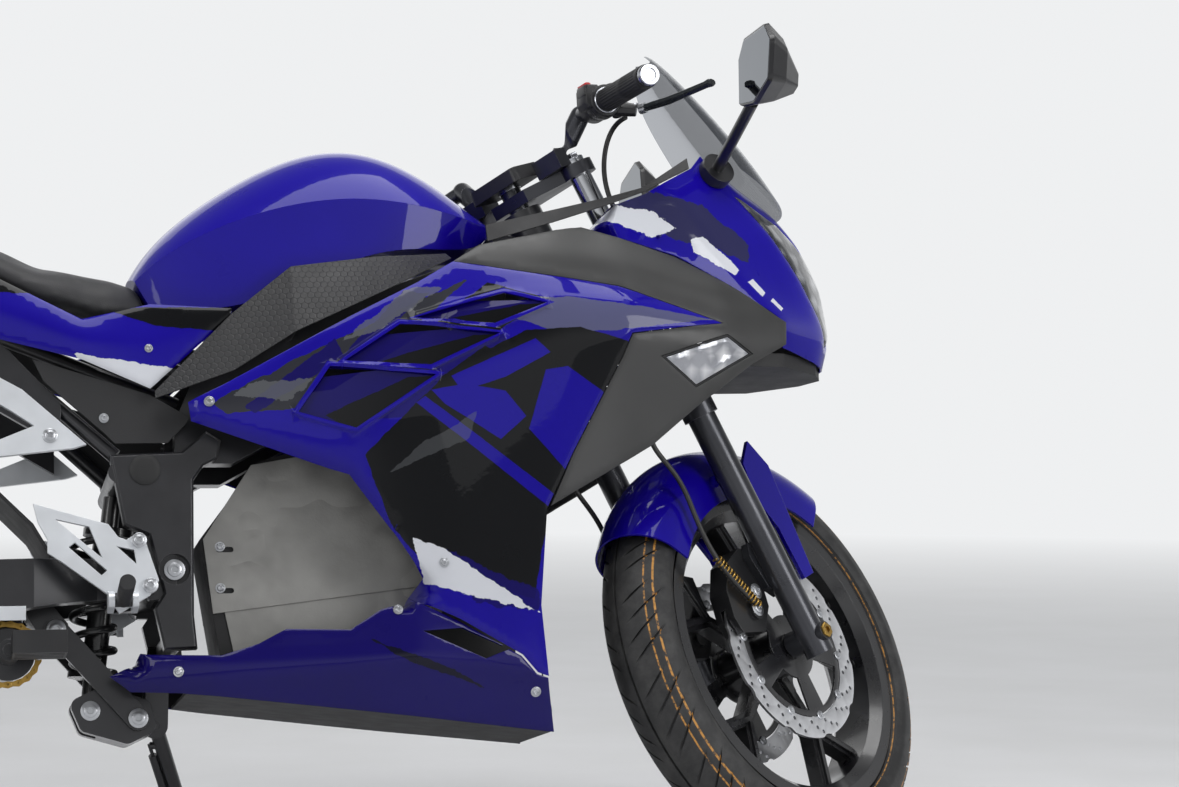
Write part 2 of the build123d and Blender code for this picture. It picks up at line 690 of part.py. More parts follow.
link_top_x = -300.0
link_top_z = 336.0
link_pin = 6.0
link_lug_y = 40.0
link_foot = (-196.0, 220.0)
arm_side = [
    (pivot_x + 26, pivot_z + 20), (pivot_x + 26, pivot_z - 24), (-300, 363), (rear_axle_x - 26, rear_radius - 24),
    (rear_axle_x - 26, rear_radius + 22), (-372, 419),
]
with BuildPart() as swingarm:
    with BuildSketch(Plane.XY.offset(200)):
        outline((-120, -97), (-120, -70), (-260, -70), (-330, -arm_inner_y), (rear_axle_x - 40, -arm_inner_y),
                (rear_axle_x - 40, -arm_outer_y), (-330, -arm_outer_y), (-250, -97))
        mirror(about=Plane.XZ)
        with Locations((-184, 0)):
            Rectangle(26, 160)
        with Locations((-360, 0)):
            Rectangle(40, 2 * arm_inner_y + 4)
    extrude(amount=300)
    with BuildSketch(side_plane(-150)):
        outline(*arm_side)
    extrude(amount=300, mode=Mode.INTERSECT)
    with BuildSketch(side_plane(-150)):
        with Locations((pivot_x, pivot_z)):
            Circle(axle_radius, mode=Mode.ADD)
    extrude(amount=300, mode=Mode.SUBTRACT)
    rod((rear_axle_x, -arm_outer_y - 14, rear_radius), (rear_axle_x, arm_outer_y + 14, rear_radius), axle_radius)
    with BuildSketch(side_plane(-link_lug_y)):
        outline((-345, 370), (-316, 322), (-284, 322), (-284, 345), (-330, 400))
    extrude(amount=2 * link_lug_y)
    with BuildSketch(side_plane(60)):
        outline((crank_x - 20, crank_z), (crank_x - 16, 372), (crank_x + 16, 372), (crank_x + 20, crank_z))
    extrude(amount=12)
    rod((crank_x, -72, crank_z), (crank_x, 100, crank_z), 20)
    with BuildSketch(side_plane(-100)):
        outline((crank_x - 20, crank_z), (crank_x - 16, 372), (crank_x + 16, 372), (crank_x + 20, crank_z))
    extrude(amount=12)
    with BuildSketch(side_plane(-150)):
        with Locations((crank_x, crank_z)):
            Circle(axle_radius + shaft_clearance)
        with Locations((link_top_x, link_top_z)):
            Circle(link_pin + seat_gap)
    extrude(amount=300, mode=Mode.SUBTRACT)
    for side in (-1, 1):
        spool = Plane((spool_x, side * arm_outer_y, rear_radius), x_dir=(1, 0, 0), z_dir=(0, -side, 0))
        with BuildSketch(spool):
            Circle(spool_bore)
        extrude(amount=spool_depth, mode=Mode.SUBTRACT)
finish("swingarm", swingarm)

with BuildPart() as rear_shock:
    rod(shock_point(0), shock_point(shock_length - cross_radius - seat_gap), 12)
    for low, high, radius in ((44, 52, 33), (52, 140, 16), (140, 232, 19), (232, 242, 33)):
        rod(shock_point(low), shock_point(high), radius)
    coil_height = 180.0
    with BuildLine(Plane(origin=shock_point(52), z_dir=shock_point(1) - shock_point(0))) as coil:
        Helix(coil_height / 6, coil_height, 27)
    with BuildSketch(Plane(origin=coil.line @ 0, z_dir=coil.line % 0)):
        Circle(5)
    sweep(path=coil.line, is_frenet=True)
finish("rear_shock", rear_shock)

link_run = hypot(link_foot[0] - link_top_x, link_foot[1] - link_top_z)
link_turn = degrees(atan2(link_foot[1] - link_top_z, link_foot[0] - link_top_x))
link_width = 30.0
with BuildPart() as shock_linkage:
    with BuildSketch(side_plane(-40)) as rocker:
        outline((-284, 244), (-268, 206), (-208, 188), (-170, 206), (-180, 244), (-240, 264))
        fillet(rocker.vertices(), 12)
    extrude(amount=80)
    with BuildSketch(side_plane(-16)):
        outline((-290, 262), (-290, 200), (-235, 200), (-235, 270))
    extrude(amount=32, mode=Mode.SUBTRACT)
    for y in (-54, 44):
        with BuildSketch(side_plane(-y - 10)):
            with Locations(((link_top_x + link_foot[0]) / 2, (link_top_z + link_foot[1]) / 2)):
                SlotCenterToCenter(link_run, link_width, rotation=link_turn)
        extrude(amount=10)
    for x, z in ((link_top_x, link_top_z), link_foot):
        rod((x, -58, z), (x, 58, z), link_pin)
finish("shock_linkage", shock_linkage)

battery_outline = [(-90, 290), (-116, 450), (-40, 552), (240, 640), (300, 560), (300, 240), (-80, 246)]
battery_half = 68.0
with BuildPart() as battery_box:
    with BuildSketch(side_plane(-battery_half)):
        outline(*battery_outline)
    extrude(amount=2 * battery_half)
    for stations, x, z in ((cowl_stations, 262, 500), (belly_stations, 100, 290), (belly_stations, 280, 252)):
        stay = Solid.make_cylinder(6, 200, Plane((x, 1 - battery_half, z), z_dir=(0, -1, 0))) & room_under(stations)
        add(stay)
        add(stay.mirror(Plane.XZ))
finish("battery_box", battery_box)

cover_wall = 2.0
with BuildPart() as battery_covers:
    with BuildSketch(side_plane(battery_half + seat_gap)):
        outline((-88, 370), (-72, 292), (60, 305), (200, 345), (220, 400))
    extrude(amount=cover_wall)
    with BuildSketch(side_plane(battery_half + seat_gap + cover_wall)):
        outline((-48, 548), (-112, 450), (-100, 352), (230, 392), (240, 600))
        for z in (436, 382):
            with Locations((-84, z)):
                SlotCenterToCenter(16, 7, mode=Mode.SUBTRACT)
    extrude(amount=cover_wall)
    mirror_left()
finish("battery_covers", battery_covers)

# Tank, sections at x: half width, underside, shoulder and crown heights
tank_sections = [
    (-205, 70, 762, 785, 806),
    (-120, 112, 752, 845, 903),
    (-20, 134, 768, 880, 965),
    (80, 140, 812, 895, 992),
    (190, 120, 836, 890, 960),
    (282, 62, 868, 878, 896),
]
tail_top = (-209.0, 812.0)
tail_low = (-168.0, 738.0)
with BuildPart() as tank:
    for x, half, under, shoulder, crown in tank_sections:
        with BuildSketch(Plane.YZ.offset(x)):
            with BuildLine():
                Polyline((-half, shoulder), (-half * 0.9, under), (half * 0.9, under), (half, shoulder))
                ThreePointArc((half, shoulder), (0, crown), (-half, shoulder))
            make_face()
    loft()
    with BuildSketch(side_plane(-200)):
        outline(tail_top, tail_low, (tail_low[0] - 80, tail_low[1] - 20), (tail_top[0] - 40, tail_top[1]))
    extrude(amount=400, mode=Mode.SUBTRACT)
finish("tank", tank)

seat_sections = [
    (-160, 62, 748, 782),
    (-240, 105, 738, 802),
    (-320, 128, 755, 812),
    (-400, 125, 790, 845),
]
with BuildPart() as seat:
    for x, half, under, top in seat_sections:
        with BuildSketch(Plane.YZ.offset(x)):
            with BuildLine():
                Polyline((-half, under + 14), (-half * 0.9, under), (half * 0.9, under), (half, under + 14))
                ThreePointArc((half, under + 14), (0, top), (-half, under + 14))
            make_face()
    loft()
    with BuildSketch(side_plane(-200)):
        outline((tail_top[0] - 1, tail_top[1]), (tail_low[0] - 1, tail_low[1]), (tail_low[0] + 60, tail_low[1]),
                (tail_low[0] + 60, tail_top[1]))
    extrude(amount=400, mode=Mode.SUBTRACT)
finish("seat", seat)

pillion_sections = [(-425, 105, 845, 872), (-560, 112, 872, 905), (-715, 70, 888, 915)]
with BuildPart() as pillion_seat:
    for x, half, under, top in pillion_sections:
        with BuildSketch(Plane.YZ.offset(x)):
            with BuildLine():
                Polyline((-half, under + 10), (-half * 0.9, under), (half * 0.9, under), (half, under + 10))
                ThreePointArc((half, under + 10), (0, top), (-half, under + 10))
            make_face()
    loft()
finish("pillion_seat", pillion_seat)

with BuildPart() as side_covers:
    skin(tail_stations)
    mirror_left()
finish("side_covers", side_covers)

with BuildPart() as under_covers:
    with BuildSketch(side_plane(under_cover_y)):
        outline((-332, 677), (-183, 631), (-133, 602), (-137, 593), (-161, 568), (-228, 567), (-242, 581), (-318, 648))
    extrude(amount=skin_wall)
    mirror_left()
finish("under_covers", under_covers)

with BuildPart() as knee_pads:
    skin(knee_stations)
    mirror_left()
finish("knee_pads", knee_pads)

fairing_outline = [
    (-139, 613), (-90, 637), (73, 725), (158, 769), (207, 799), (429, 769), (575, 723), (441, 700), (428, 670),
    (361, 545), (326, 473), (319, 349), (330, 257), (314, 262), (293, 285), (210, 330), (150, 358), (162, 385),
    (143, 414), (117, 451), (66, 517), (40, 525), (-135, 588),
]
grey_outline = [
    (206, 798), (245, 825), (354, 852), (390, 858), (521, 821), (605, 779), (669, 743), (681, 737), (678, 704),
    (622, 672), (540, 612), (476, 559), (330, 475), (361, 545), (428, 670), (441, 700), (575, 723), (429, 769),
]
signal_outline = [(489, 672), (580, 704), (616, 685), (536, 639)]
vent_outlines = [
    [(0, 596), (73, 574), (176, 642), (41, 655)],
    [(60, 662), (170, 655), (261, 697), (132, 710)],
    [(150, 718), (255, 710), (325, 739), (270, 753)],
]
vane_lap = 5.0
lip_width = 6.0
lip_rise = 5.0


def vent_lip(points):
    """Raised rim round a vent, on the right-hand skin."""
    with BuildPart() as lip:
        skin(cowl_stations, skin_wall + lip_rise, -lip_rise)
        with BuildSketch(side_plane(80)) as ring:
            outline(*points)
            offset(amount=lip_width, kind=Kind.INTERSECTION)
            outline(*points, mode=Mode.SUBTRACT)
        extrude(ring.sketch, amount=200, mode=Mode.INTERSECT)
    return lip.part


with BuildPart() as side_fairings:
    skin(cowl_stations)
    with BuildSketch(side_plane(80)):
        outline(*fairing_outline)
    extrude(amount=180, mode=Mode.INTERSECT)
    with BuildSketch(side_plane(80)):
        for points in vent_outlines:
            outline(*points)
    extrude(amount=180, mode=Mode.SUBTRACT)
    for points in vent_outlines:
        add(vent_lip(points))
    mirror_left()
finish("side_fairings", side_fairings)

with BuildPart() as vent_vanes:
    skin(cowl_stations, skin_wall, skin_wall + seat_gap)
    with BuildSketch(side_plane(80)):
        for low, corner, tip, top in vent_outlines:
            outline(low, corner, tip, ((low[0] + top[0]) / 2, (low[1] + top[1]) / 2))
            offset(amount=vane_lap, kind=Kind.INTERSECTION)
    extrude(amount=180, mode=Mode.INTERSECT)
    mirror_left()
finish("vent_vanes", vent_vanes)

with BuildPart() as cowl_sides:
    skin(cowl_stations)
    with BuildSketch(side_plane(60)):
        outline(*grey_outline)
    extrude(amount=200, mode=Mode.INTERSECT)
    with BuildSketch(side_plane(60)):
        outline(*fairing_outline)
        outline(*signal_outline)
        offset(amount=panel_gap, kind=Kind.INTERSECTION)
    extrude(amount=200, mode=Mode.SUBTRACT)
    mirror_left()
finish("cowl_sides", cowl_sides)

with BuildPart() as front_signals:
    skin(cowl_stations)
    with BuildSketch(side_plane(60)):
        outline(*signal_outline)
    extrude(amount=200, mode=Mode.INTERSECT)
    mirror_left()
finish("front_signals", front_signals)

belly_outline = [
    (-236, 270), (-202, 286), (-198, 297), (-97, 291), (-50, 305), (-15, 323), (66, 320), (105, 345), (149, 357),
    (209, 329), (292, 284), (313, 261), (329, 256), (340, 186), (-149, 245), (-209, 249),
]
belly_vent = [(160, 316), (213, 320), (276, 293), (243, 280)]
with BuildPart() as belly_panels:
    skin(belly_stations)
    with BuildSketch(side_plane(60)):
        outline(*belly_outline)
        outline(*belly_vent, mode=Mode.SUBTRACT)
    extrude(amount=140, mode=Mode.INTERSECT)
    mirror_left()
finish("belly_panels", belly_panels)

with BuildPart() as belly_tray:
    with BuildSketch(side_plane(0)):
        outline((-140, 244.5), (335, 187.2), (335, 191.2), (-140, 248.5))
    extrude(amount=200)
    add(room_under(belly_stations), mode=Mode.INTERSECT)
    mirror_left()
finish("belly_tray", belly_tray)


nose_outline = [
    (360, 862), (390, 859), (522, 822), (606, 780), (669.5, 744), (682, 738), (679, 704), (772, 690), (800, 690),
    (800, 800), (716, 914.5), (690, 927), (580, 981), (560, 957), (484, 910), (424, 886),
]
lamp_outline = [(-92, 925), (-60, 790), (-30, 722), (-4, 735), (-4, 845), (-30, 900)]
with BuildPart() as nose_cowl:
    nose_skin()
    with BuildSketch(side_plane(-200)):
        outline(*nose_outline)
    extrude(amount=400, mode=Mode.INTERSECT)
    with BuildSketch(Plane.YZ.offset(600)):
        outline(*lamp_outline)
        mirror(about=Plane.YZ)
        offset(amount=panel_gap, kind=Kind.INTERSECTION)
    extrude(amount=300, mode=Mode.SUBTRACT)
finish("nose_cowl", nose_cowl)

with BuildPart() as headlights:
    nose_skin(1.5)
    with BuildSketch(side_plane(-200)):
        outline(*nose_outline)
    extrude(amount=400, mode=Mode.INTERSECT)
    with BuildSketch(Plane.YZ.offset(600)):
        outline(*lamp_outline)
        mirror(about=Plane.YZ)
    extrude(amount=300, mode=Mode.INTERSECT)
finish("headlights", headlights)

# Chin: a plate that closes the nose from below and stands in its rim
chin_wall = 9.0
chin_rise = 10.0
chin_rear = (600, 108)
nose_foot, nose_foot_rows = nose_sections[0]
with BuildPart() as nose_chin:
    with BuildSketch(Plane.XY.offset(nose_foot - chin_wall - seat_gap)):
        outline(*nose_plan([chin_rear, *nose_foot_rows[1:]], skin_wall + seat_gap))
    extrude(amount=chin_wall + seat_gap + chin_rise)
finish("nose_chin", nose_chin)

# Stay from the headstock to the nose, with a cross tube to the nose and one to the grey panels
with BuildPart() as fairing_stay:
    with BuildSketch(side_plane(-20)):
        outline((380, 838), (572, 880), (572, 905), (380, 872))
    extrude(amount=40)
    rod((560, 0, 890), (560, 0, 740), 8)
    add(Solid.make_cylinder(headstock_radius + seat_gap, 400, Plane(on_stem(500), z_dir=leg_dir)), mode=Mode.SUBTRACT)
    peg((560, 0, 890), (560, -240, 890), 8, nose_room(skin_wall + seat_gap))
    peg((560, 0, 740), (560, -240, 740), 8, room_under(cowl_stations))
    mirror_left()
finish("fairing_stay", fairing_stay)

screen_sections = [
    (880, 116, 672, 738),
    (960, 114, 632, 690),
    (1060, 92, 566, 614),
    (1120, 58, 532, 562),
    (1144, 24, 526, 541),
]
screen_wall = 3.0
with BuildPart() as windscreen:
    for z, half, edge_x, middle_x in screen_sections:
        with BuildSketch(Plane.XY.offset(z)):
            with BuildLine():
                ThreePointArc((edge_x, -half), (middle_x, 0), (edge_x, half))
                Line((edge_x, half), (edge_x - screen_wall, half - 1))
                ThreePointArc((edge_x - screen_wall, half - 1), (middle_x - screen_wall, 0),
                              (edge_x - screen_wall, 1 - half))
                Line((edge_x - screen_wall, 1 - half), (edge_x, -half))
            make_face()
    loft()
    with BuildSketch(side_plane(-200)):
        outline((480, 1029), (580, 982), (690, 928), (760, 894), (760, 800), (400, 800), (400, 1029))
    extrude(amount=400, mode=Mode.SUBTRACT)
finish("windscreen", windscreen)

trim_stations = [
    (262, [(158, 836), (148, 861)]),
    (354, [(157, 865), (146, 884)]),
    (424, [(154, 889), (144, 902)]),
    (484, [(146, 913), (136, 921)]),
    (556, [(117, 954.9), (108, 972)]),
]
with BuildPart() as inner_trim:
    skin(trim_stations)
    mirror_left()
finish("inner_trim", inner_trim)

mirror_base = (598.0, -106.0, 955.0)
mirror_neck = (604.0, -275.0, 1003.0)
mirror_back = [(-262, 1000), (-270, 1064), (-300, 1084), (-396, 1074), (-420, 1046), (-402, 996), (-330, 984)]
mirror_middle = (-336.0, 1030.0)
with BuildPart() as mirrors:
    rod(mirror_base, mirror_neck, 8)
    with Locations(Plane(mirror_base, z_dir=(0.35, -1, 0.45))):
        Cylinder(24, 16)
    add(nose_room(-seat_gap), mode=Mode.SUBTRACT)
    slices = []
    for x, size, drop in ((588, 0.97, 0), (594, 1.0, 0), (616, 0.78, 6), (642, 0.3, 18)):
        with BuildSketch(Plane.YZ.offset(x)) as section:
            outline(*[(mirror_middle[0] + (y - mirror_middle[0]) * size,
                       mirror_middle[1] - drop + (z - mirror_middle[1]) * size) for y, z in mirror_back])
            fillet(section.vertices(), radius=12 * size)
        slices.append(section.sketch)
    loft(slices, ruled=True)
    mirror_left()
finish("mirrors", mirrors)

bracket_outline = [
    (-332, 486), (-238, 459), (-226, 443), (-216, 439), (-201, 448), (-192, 438), (-175, 387), (-186, 368),
    (-225, 345), (-240, 370), (-296, 411), (-314, 423), (-314, 440), (-326, 462),
]
bracket_holes = [
    [(-305, 466), (-262, 456), (-246, 416)],
    [(-228, 431), (-206, 426), (-203, 408)],
    [(-288, 430), (-247, 394), (-240, 400), (-280, 436)],
]
peg_hinge = (-221.0, 168.0, 360.0)
bracket_wall = 8.0
with BuildPart() as peg_brackets:
    with BuildSketch(side_plane(bracket_y)):
        outline(*bracket_outline)
        for points in bracket_holes:
            with BuildLine():
                Polyline(*points, close=True)
            make_face(mode=Mode.SUBTRACT)
    extrude(amount=bracket_wall)
    for x, z in bracket_bolts:
        rod((x, -bracket_y - 1, z), (x, -bracket_y - bracket_wall - 4, z), 9)
    for x in (-236, -206):
        with BuildSketch(Plane.YZ.offset(x - 4)):
            outline((-bracket_y - 1, 346), (-peg_hinge[1], 350), (-peg_hinge[1], 370), (-bracket_y - 1, 374))
            with Locations((-peg_hinge[1], peg_hinge[2])):
                Circle(10)
        extrude(amount=8)
    rod((-238, -peg_hinge[1], peg_hinge[2]), (-204, -peg_hinge[1], peg_hinge[2]), 4)
    mirror_left()
finish("peg_brackets", peg_brackets)

peg_length = 84.0
for node, side in (("peg_right", -1), ("peg_left", 1)):
    with BuildPart() as peg:
        hinge = Vector(peg_hinge[0], side * peg_hinge[1], peg_hinge[2])
        rod(hinge - Vector(10.5, 0, 0), hinge + Vector(10.5, 0, 0), 9)
        rod(hinge, hinge + Vector(0, side * peg_length, 12), 10)
        with BuildSketch(Plane(origin=hinge - Vector(20, 0, 0), z_dir=(1, 0, 0))):
            Circle(4.05)
        extrude(amount=40, mode=Mode.SUBTRACT)
    finish(node, peg)

with BuildPart() as pillion_brackets:
    with BuildSketch(side_plane(pillion_y)):
        outline((-264, 566), (-345, 637), (-560, 755), (-575, 745), (-560, 640), (-540, 600), (-470, 560), (-373, 550), (-280, 561))
        with BuildLine():
            Polyline((-330, 590), (-360, 610), (-545, 720), (-535, 640), (-465, 585), (-373, 572), close=True)
        make_face(mode=Mode.SUBTRACT)
    extrude(amount=10)
    rod((-505, -pillion_y - 6, 585), (-505, -215, 592), 10)
    mirror_left()
finish("pillion_brackets", pillion_brackets)

# Crank, pedals and chain
with BuildPart() as crankset:
    rod((crank_x, -146, crank_z), (crank_x, 146, crank_z), axle_radius)
    with BuildSketch(side_plane(-chain_y - chain_width / 2 + 1)):
        with Locations((crank_x, crank_z)):
            Circle(sprocket_radius - 0.5)
    extrude(amount=chain_width - 2)
    rod((crank_x, -chain_width / 2 + chain_y, crank_z), (crank_x, -140, crank_z), 14)
    rod((crank_x, 108, crank_z), (crank_x, 140, crank_z), 14)
    for side in (-1, 1):
        with BuildSketch(side_plane(-side * 130 - 6)):
            with Locations((crank_x, crank_z), (crank_x + side * -crank_length, crank_z)):
                Circle(12)
            with Locations((crank_x - side * crank_length / 2, crank_z)):
                Rectangle(crank_length, 20)
        extrude(amount=12)
        rod((crank_x - side * crank_length, side * 136, crank_z),
            (crank_x - side * crank_length, side * (pedal_inner_y + pedal_width - 6), crank_z), 5)
finish("crankset", crankset)

for node, side in (("pedal_right", -1), ("pedal_left", 1)):
    with BuildPart() as pedal:
        with Locations((crank_x - side * crank_length, side * (pedal_inner_y + pedal_width / 2), crank_z)):
            Box(66, pedal_width, 28)
        with BuildSketch(side_plane(-side * pedal_inner_y if side < 0 else -pedal_inner_y - pedal_width)):
            with Locations((crank_x - side * crank_length, crank_z)):
                Circle(5.05)
        extrude(amount=pedal_width - 4 if side < 0 else pedal_width, mode=Mode.SUBTRACT)
        for step in range(4):
            y = side * (pedal_inner_y + pedal_width * (step + 1) / 5)
            for rise in (-14, 14):
                with Locations((crank_x - side * crank_length, y, crank_z + rise)):
                    Box(60, 6, 8, mode=Mode.SUBTRACT)
    finish(node, pedal)

chain_links = 74
chain_pitch_radius = sprocket_radius + chain_height / 2
chain_reach = crank_x - rear_axle_x
chain_drop = atan2(crank_z - rear_radius, chain_reach)
chain_run = hypot(chain_reach, crank_z - rear_radius)
chain_loop = 2 * chain_run + 2 * pi * chain_pitch_radius


def chain_point(along, rise):
    """Point of the chain loop in x and z, at a distance along it and a rise outside its middle line."""
    arc = pi * chain_pitch_radius
    out = chain_pitch_radius + rise
    along = along % chain_loop
    if along < chain_run:
        x, z = along, out
    elif along < chain_run + arc:
        turn = (along - chain_run) / chain_pitch_radius
        x, z = chain_run + out * sin(turn), out * cos(turn)
    elif along < 2 * chain_run + arc:
        x, z = 2 * chain_run + arc - along, -out
    else:
        turn = (along - 2 * chain_run - arc) / chain_pitch_radius
        x, z = -out * sin(turn), -out * cos(turn)
    return (rear_axle_x + x * cos(chain_drop) - z * sin(chain_drop),
            rear_radius + x * sin(chain_drop) + z * cos(chain_drop))


with BuildPart() as chain:
    pitch = chain_loop / chain_links
    waists = [(0.0, 1.0), (0.25, 1.0), (0.5, 0.7), (0.75, 1.0)]
    steps = [((link + share) * pitch, size * chain_height / 2) for link in range(chain_links) for share, size in waists[1:]]
    with BuildSketch(side_plane(-chain_y - chain_width / 2)):
        outline(*[chain_point(along, rise) for along, rise in steps])
        outline(*[chain_point(along, -rise) for along, rise in steps], mode=Mode.SUBTRACT)
    extrude(amount=chain_width)
finish("chain", chain)

plate_centre = (-915.0, 0.0, 698.0)
plate_normal = (-0.81, 0.0, 0.586)
plate_hole_spacing = 146.0
plate_hole = 3.3
with BuildPart() as rear_fender:
    with BuildSketch(side_plane(-60)):
        outline((-560, 775), (-700, 792), (-850, 812), (-862, 800), (-700, 778), (-560, 762))
    extrude(amount=120)
    with BuildSketch(side_plane(-42)):
        outline((-838, 806), (-862, 812), (-905, 756), (-980, 640), (-968, 632), (-878, 748))
    extrude(amount=84)
    with BuildSketch(side_plane(-20)):
        outline((-835, 800), (-795, 800), (-795, rail_end[1] - 1 - rail_radius - seat_gap),
                (-835, rail_end[1] - 1 - rail_radius - seat_gap))
    extrude(amount=40)
    with BuildSketch(Plane(origin=plate_centre, x_dir=(0, 1, 0), z_dir=plate_normal)):
        Rectangle(plate_hole_spacing + 26, 30)
        with Locations((plate_hole_spacing / 2, 0), (-plate_hole_spacing / 2, 0)):
            Circle(plate_hole, mode=Mode.SUBTRACT)
    extrude(amount=4)
finish("rear_fender", rear_fender)

with BuildPart() as tail_lamp:
    with BuildSketch(Plane.XY.offset(862)):
        outline((-872, -38), (-900, -30), (-915, 0), (-900, 30), (-872, 38))
    extrude(amount=34)
    with BuildSketch(side_plane(-14)):
        outline((-874, 864), (-874, 882), (-800, 882), (-800, rail_end[1] - 1 + rail_radius + seat_gap),
                (-822, rail_end[1] - 1 + rail_radius + seat_gap), (-826, 864))
    extrude(amount=28)
finish("tail_lamp", tail_lamp)

with BuildPart() as tail_cap:
    with BuildSketch(side_plane(0)):
        outline((-715.3, 884), (-715.3, 912), (-800, 920), (-868, 908), (-868, 898), (-800, 886))
    extrude(amount=160)
    add(room_under(tail_stations), mode=Mode.INTERSECT)
    mirror_left()
finish("tail_cap", tail_cap)

with BuildPart() as splash_guard:
    with BuildSketch(side_plane(-90)):
        outline((-378, 510), (-334, 466), (-306, 420.65), (-302, 421.95), (-330, 469), (-375, 513))
    extrude(amount=180)
finish("splash_guard", splash_guard)

with BuildPart() as rear_signals:
    for side in (-1, 1):
        rod((-892, side * 44, 762), (-890, side * 110, 775), 7)
        rod((-890, side * 80, 772), (-890, side * 140, 778), 16)
finish("rear_signals", rear_signals)

with BuildPart() as rear_caliper:
    with BuildSketch(side_plane(-rear_disc_y - 17 + seat_gap)):
        outline((-640, 330), (-600, 330), (-600, 380), (-640, 395))
    extrude(amount=34 - seat_gap)
    with BuildSketch(side_plane(-rear_disc_y - 6)):
        with Locations((rear_axle_x, rear_radius)):
            Circle(rear_disc_radius + 3)
    extrude(amount=12, mode=Mode.SUBTRACT)
finish("rear_caliper", rear_caliper)

# Side stand: the leg reaches the ground that the lean brings up on the left
def parked_height(point):
    """Height of a point once the bike is parked."""
    return parked_point(point, stance_pitch, stance_lift).Z


foot_slope = parked_height((stand_foot_x, stand_foot_y, 1)) - parked_height((stand_foot_x, stand_foot_y, 0))
foot_z = -parked_height((stand_foot_x, stand_foot_y, 0)) / foot_slope
ground_up = Vertex(0, 0, 1).rotate(Axis.X, lean).rotate(Axis.Y, -stance_pitch).center()
foot = Vector(stand_foot_x, stand_foot_y, foot_z)
with BuildPart() as side_stand:
    leg_length = (foot + ground_up * 8 - Vector(*stand_pivot)).length
    leg_line = Plane(origin=stand_pivot, z_dir=foot + ground_up * 8 - Vector(*stand_pivot))
    add(Solid.make_cone(10.4, 8, leg_length, leg_line))
    spring_shift = Vector(-16, 0, 0)
    for low, high, radius in ((0.16, 0.7, 2.5), (0.24, 0.62, 6.0)):
        rod(leg_line.origin + leg_line.z_dir * leg_length * low + spring_shift,
            leg_line.origin + leg_line.z_dir * leg_length * high + spring_shift, radius)
    rod(leg_line.origin + leg_line.z_dir * leg_length * 0.69,
        leg_line.origin + leg_line.z_dir * leg_length * 0.69 + spring_shift, 5)
    rod(leg_line.origin + leg_line.z_dir * leg_length * 0.17,
        leg_line.origin + leg_line.z_dir * leg_length * 0.17 + spring_shift, 5)
    with BuildSketch(Plane(origin=foot, z_dir=ground_up)):
        Circle(24)
    extrude(amount=8)
    with BuildSketch(Plane(origin=Vector(*stand_pivot) - stand_axis * 11, z_dir=stand_axis)):
        Circle(17)
    extrude(amount=22)
    with BuildSketch(Plane(origin=Vector(*stand_pivot) - stand_axis * 20, z_dir=stand_axis)):
        Circle(6.05)
    extrude(amount=50, mode=Mode.SUBTRACT)
finish("side_stand", side_stand)
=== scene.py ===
"""Looks of a faired electric bicycle, parked leaning on its side stand with its bar turned left."""

import json
import logging
import math
from dataclasses import dataclass, field
from enum import Enum
from typing import Callable, Sequence

import bmesh
import bpy
import numpy as np
from mathutils import Matrix, Vector
from mathutils.bvhtree import BVHTree
from mathutils.geometry import delaunay_2d_cdt

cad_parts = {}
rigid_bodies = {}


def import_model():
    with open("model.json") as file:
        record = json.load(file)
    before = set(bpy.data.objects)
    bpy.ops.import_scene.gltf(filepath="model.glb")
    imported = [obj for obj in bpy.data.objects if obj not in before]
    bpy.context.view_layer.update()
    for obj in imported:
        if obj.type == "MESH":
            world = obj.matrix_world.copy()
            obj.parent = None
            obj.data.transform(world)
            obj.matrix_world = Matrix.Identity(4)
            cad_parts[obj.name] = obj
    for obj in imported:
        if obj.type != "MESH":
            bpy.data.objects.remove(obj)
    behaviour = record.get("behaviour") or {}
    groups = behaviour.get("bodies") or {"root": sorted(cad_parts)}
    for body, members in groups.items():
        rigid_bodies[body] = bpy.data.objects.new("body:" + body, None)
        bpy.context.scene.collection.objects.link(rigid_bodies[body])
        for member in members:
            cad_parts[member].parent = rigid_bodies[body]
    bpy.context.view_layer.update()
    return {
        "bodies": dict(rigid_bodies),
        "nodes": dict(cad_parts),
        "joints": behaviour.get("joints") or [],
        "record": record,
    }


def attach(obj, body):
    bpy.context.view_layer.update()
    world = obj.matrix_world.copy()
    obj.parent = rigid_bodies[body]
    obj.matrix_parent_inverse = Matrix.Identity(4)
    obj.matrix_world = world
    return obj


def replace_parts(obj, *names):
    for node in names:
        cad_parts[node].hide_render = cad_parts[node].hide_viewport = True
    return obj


log = logging.getLogger("dressing")

Colour = tuple[float, float, float]
Point = tuple[float, float, float]
Spot = tuple[float, float]
Inputs = dict[str | int, object]
MM = 0.001


def srgb(red: int, green: int, blue: int) -> Colour:
    """Linear colour of a screen colour.

    Args:
        red: Red, from 0 to 255.
        green: Green, from 0 to 255.
        blue: Blue, from 0 to 255.

    Returns:
        The three linear channels.
    """
    return tuple(((c / 255 + 0.055) / 1.055) ** 2.4 if c > 10 else c / 255 / 12.92 for c in (red, green, blue))


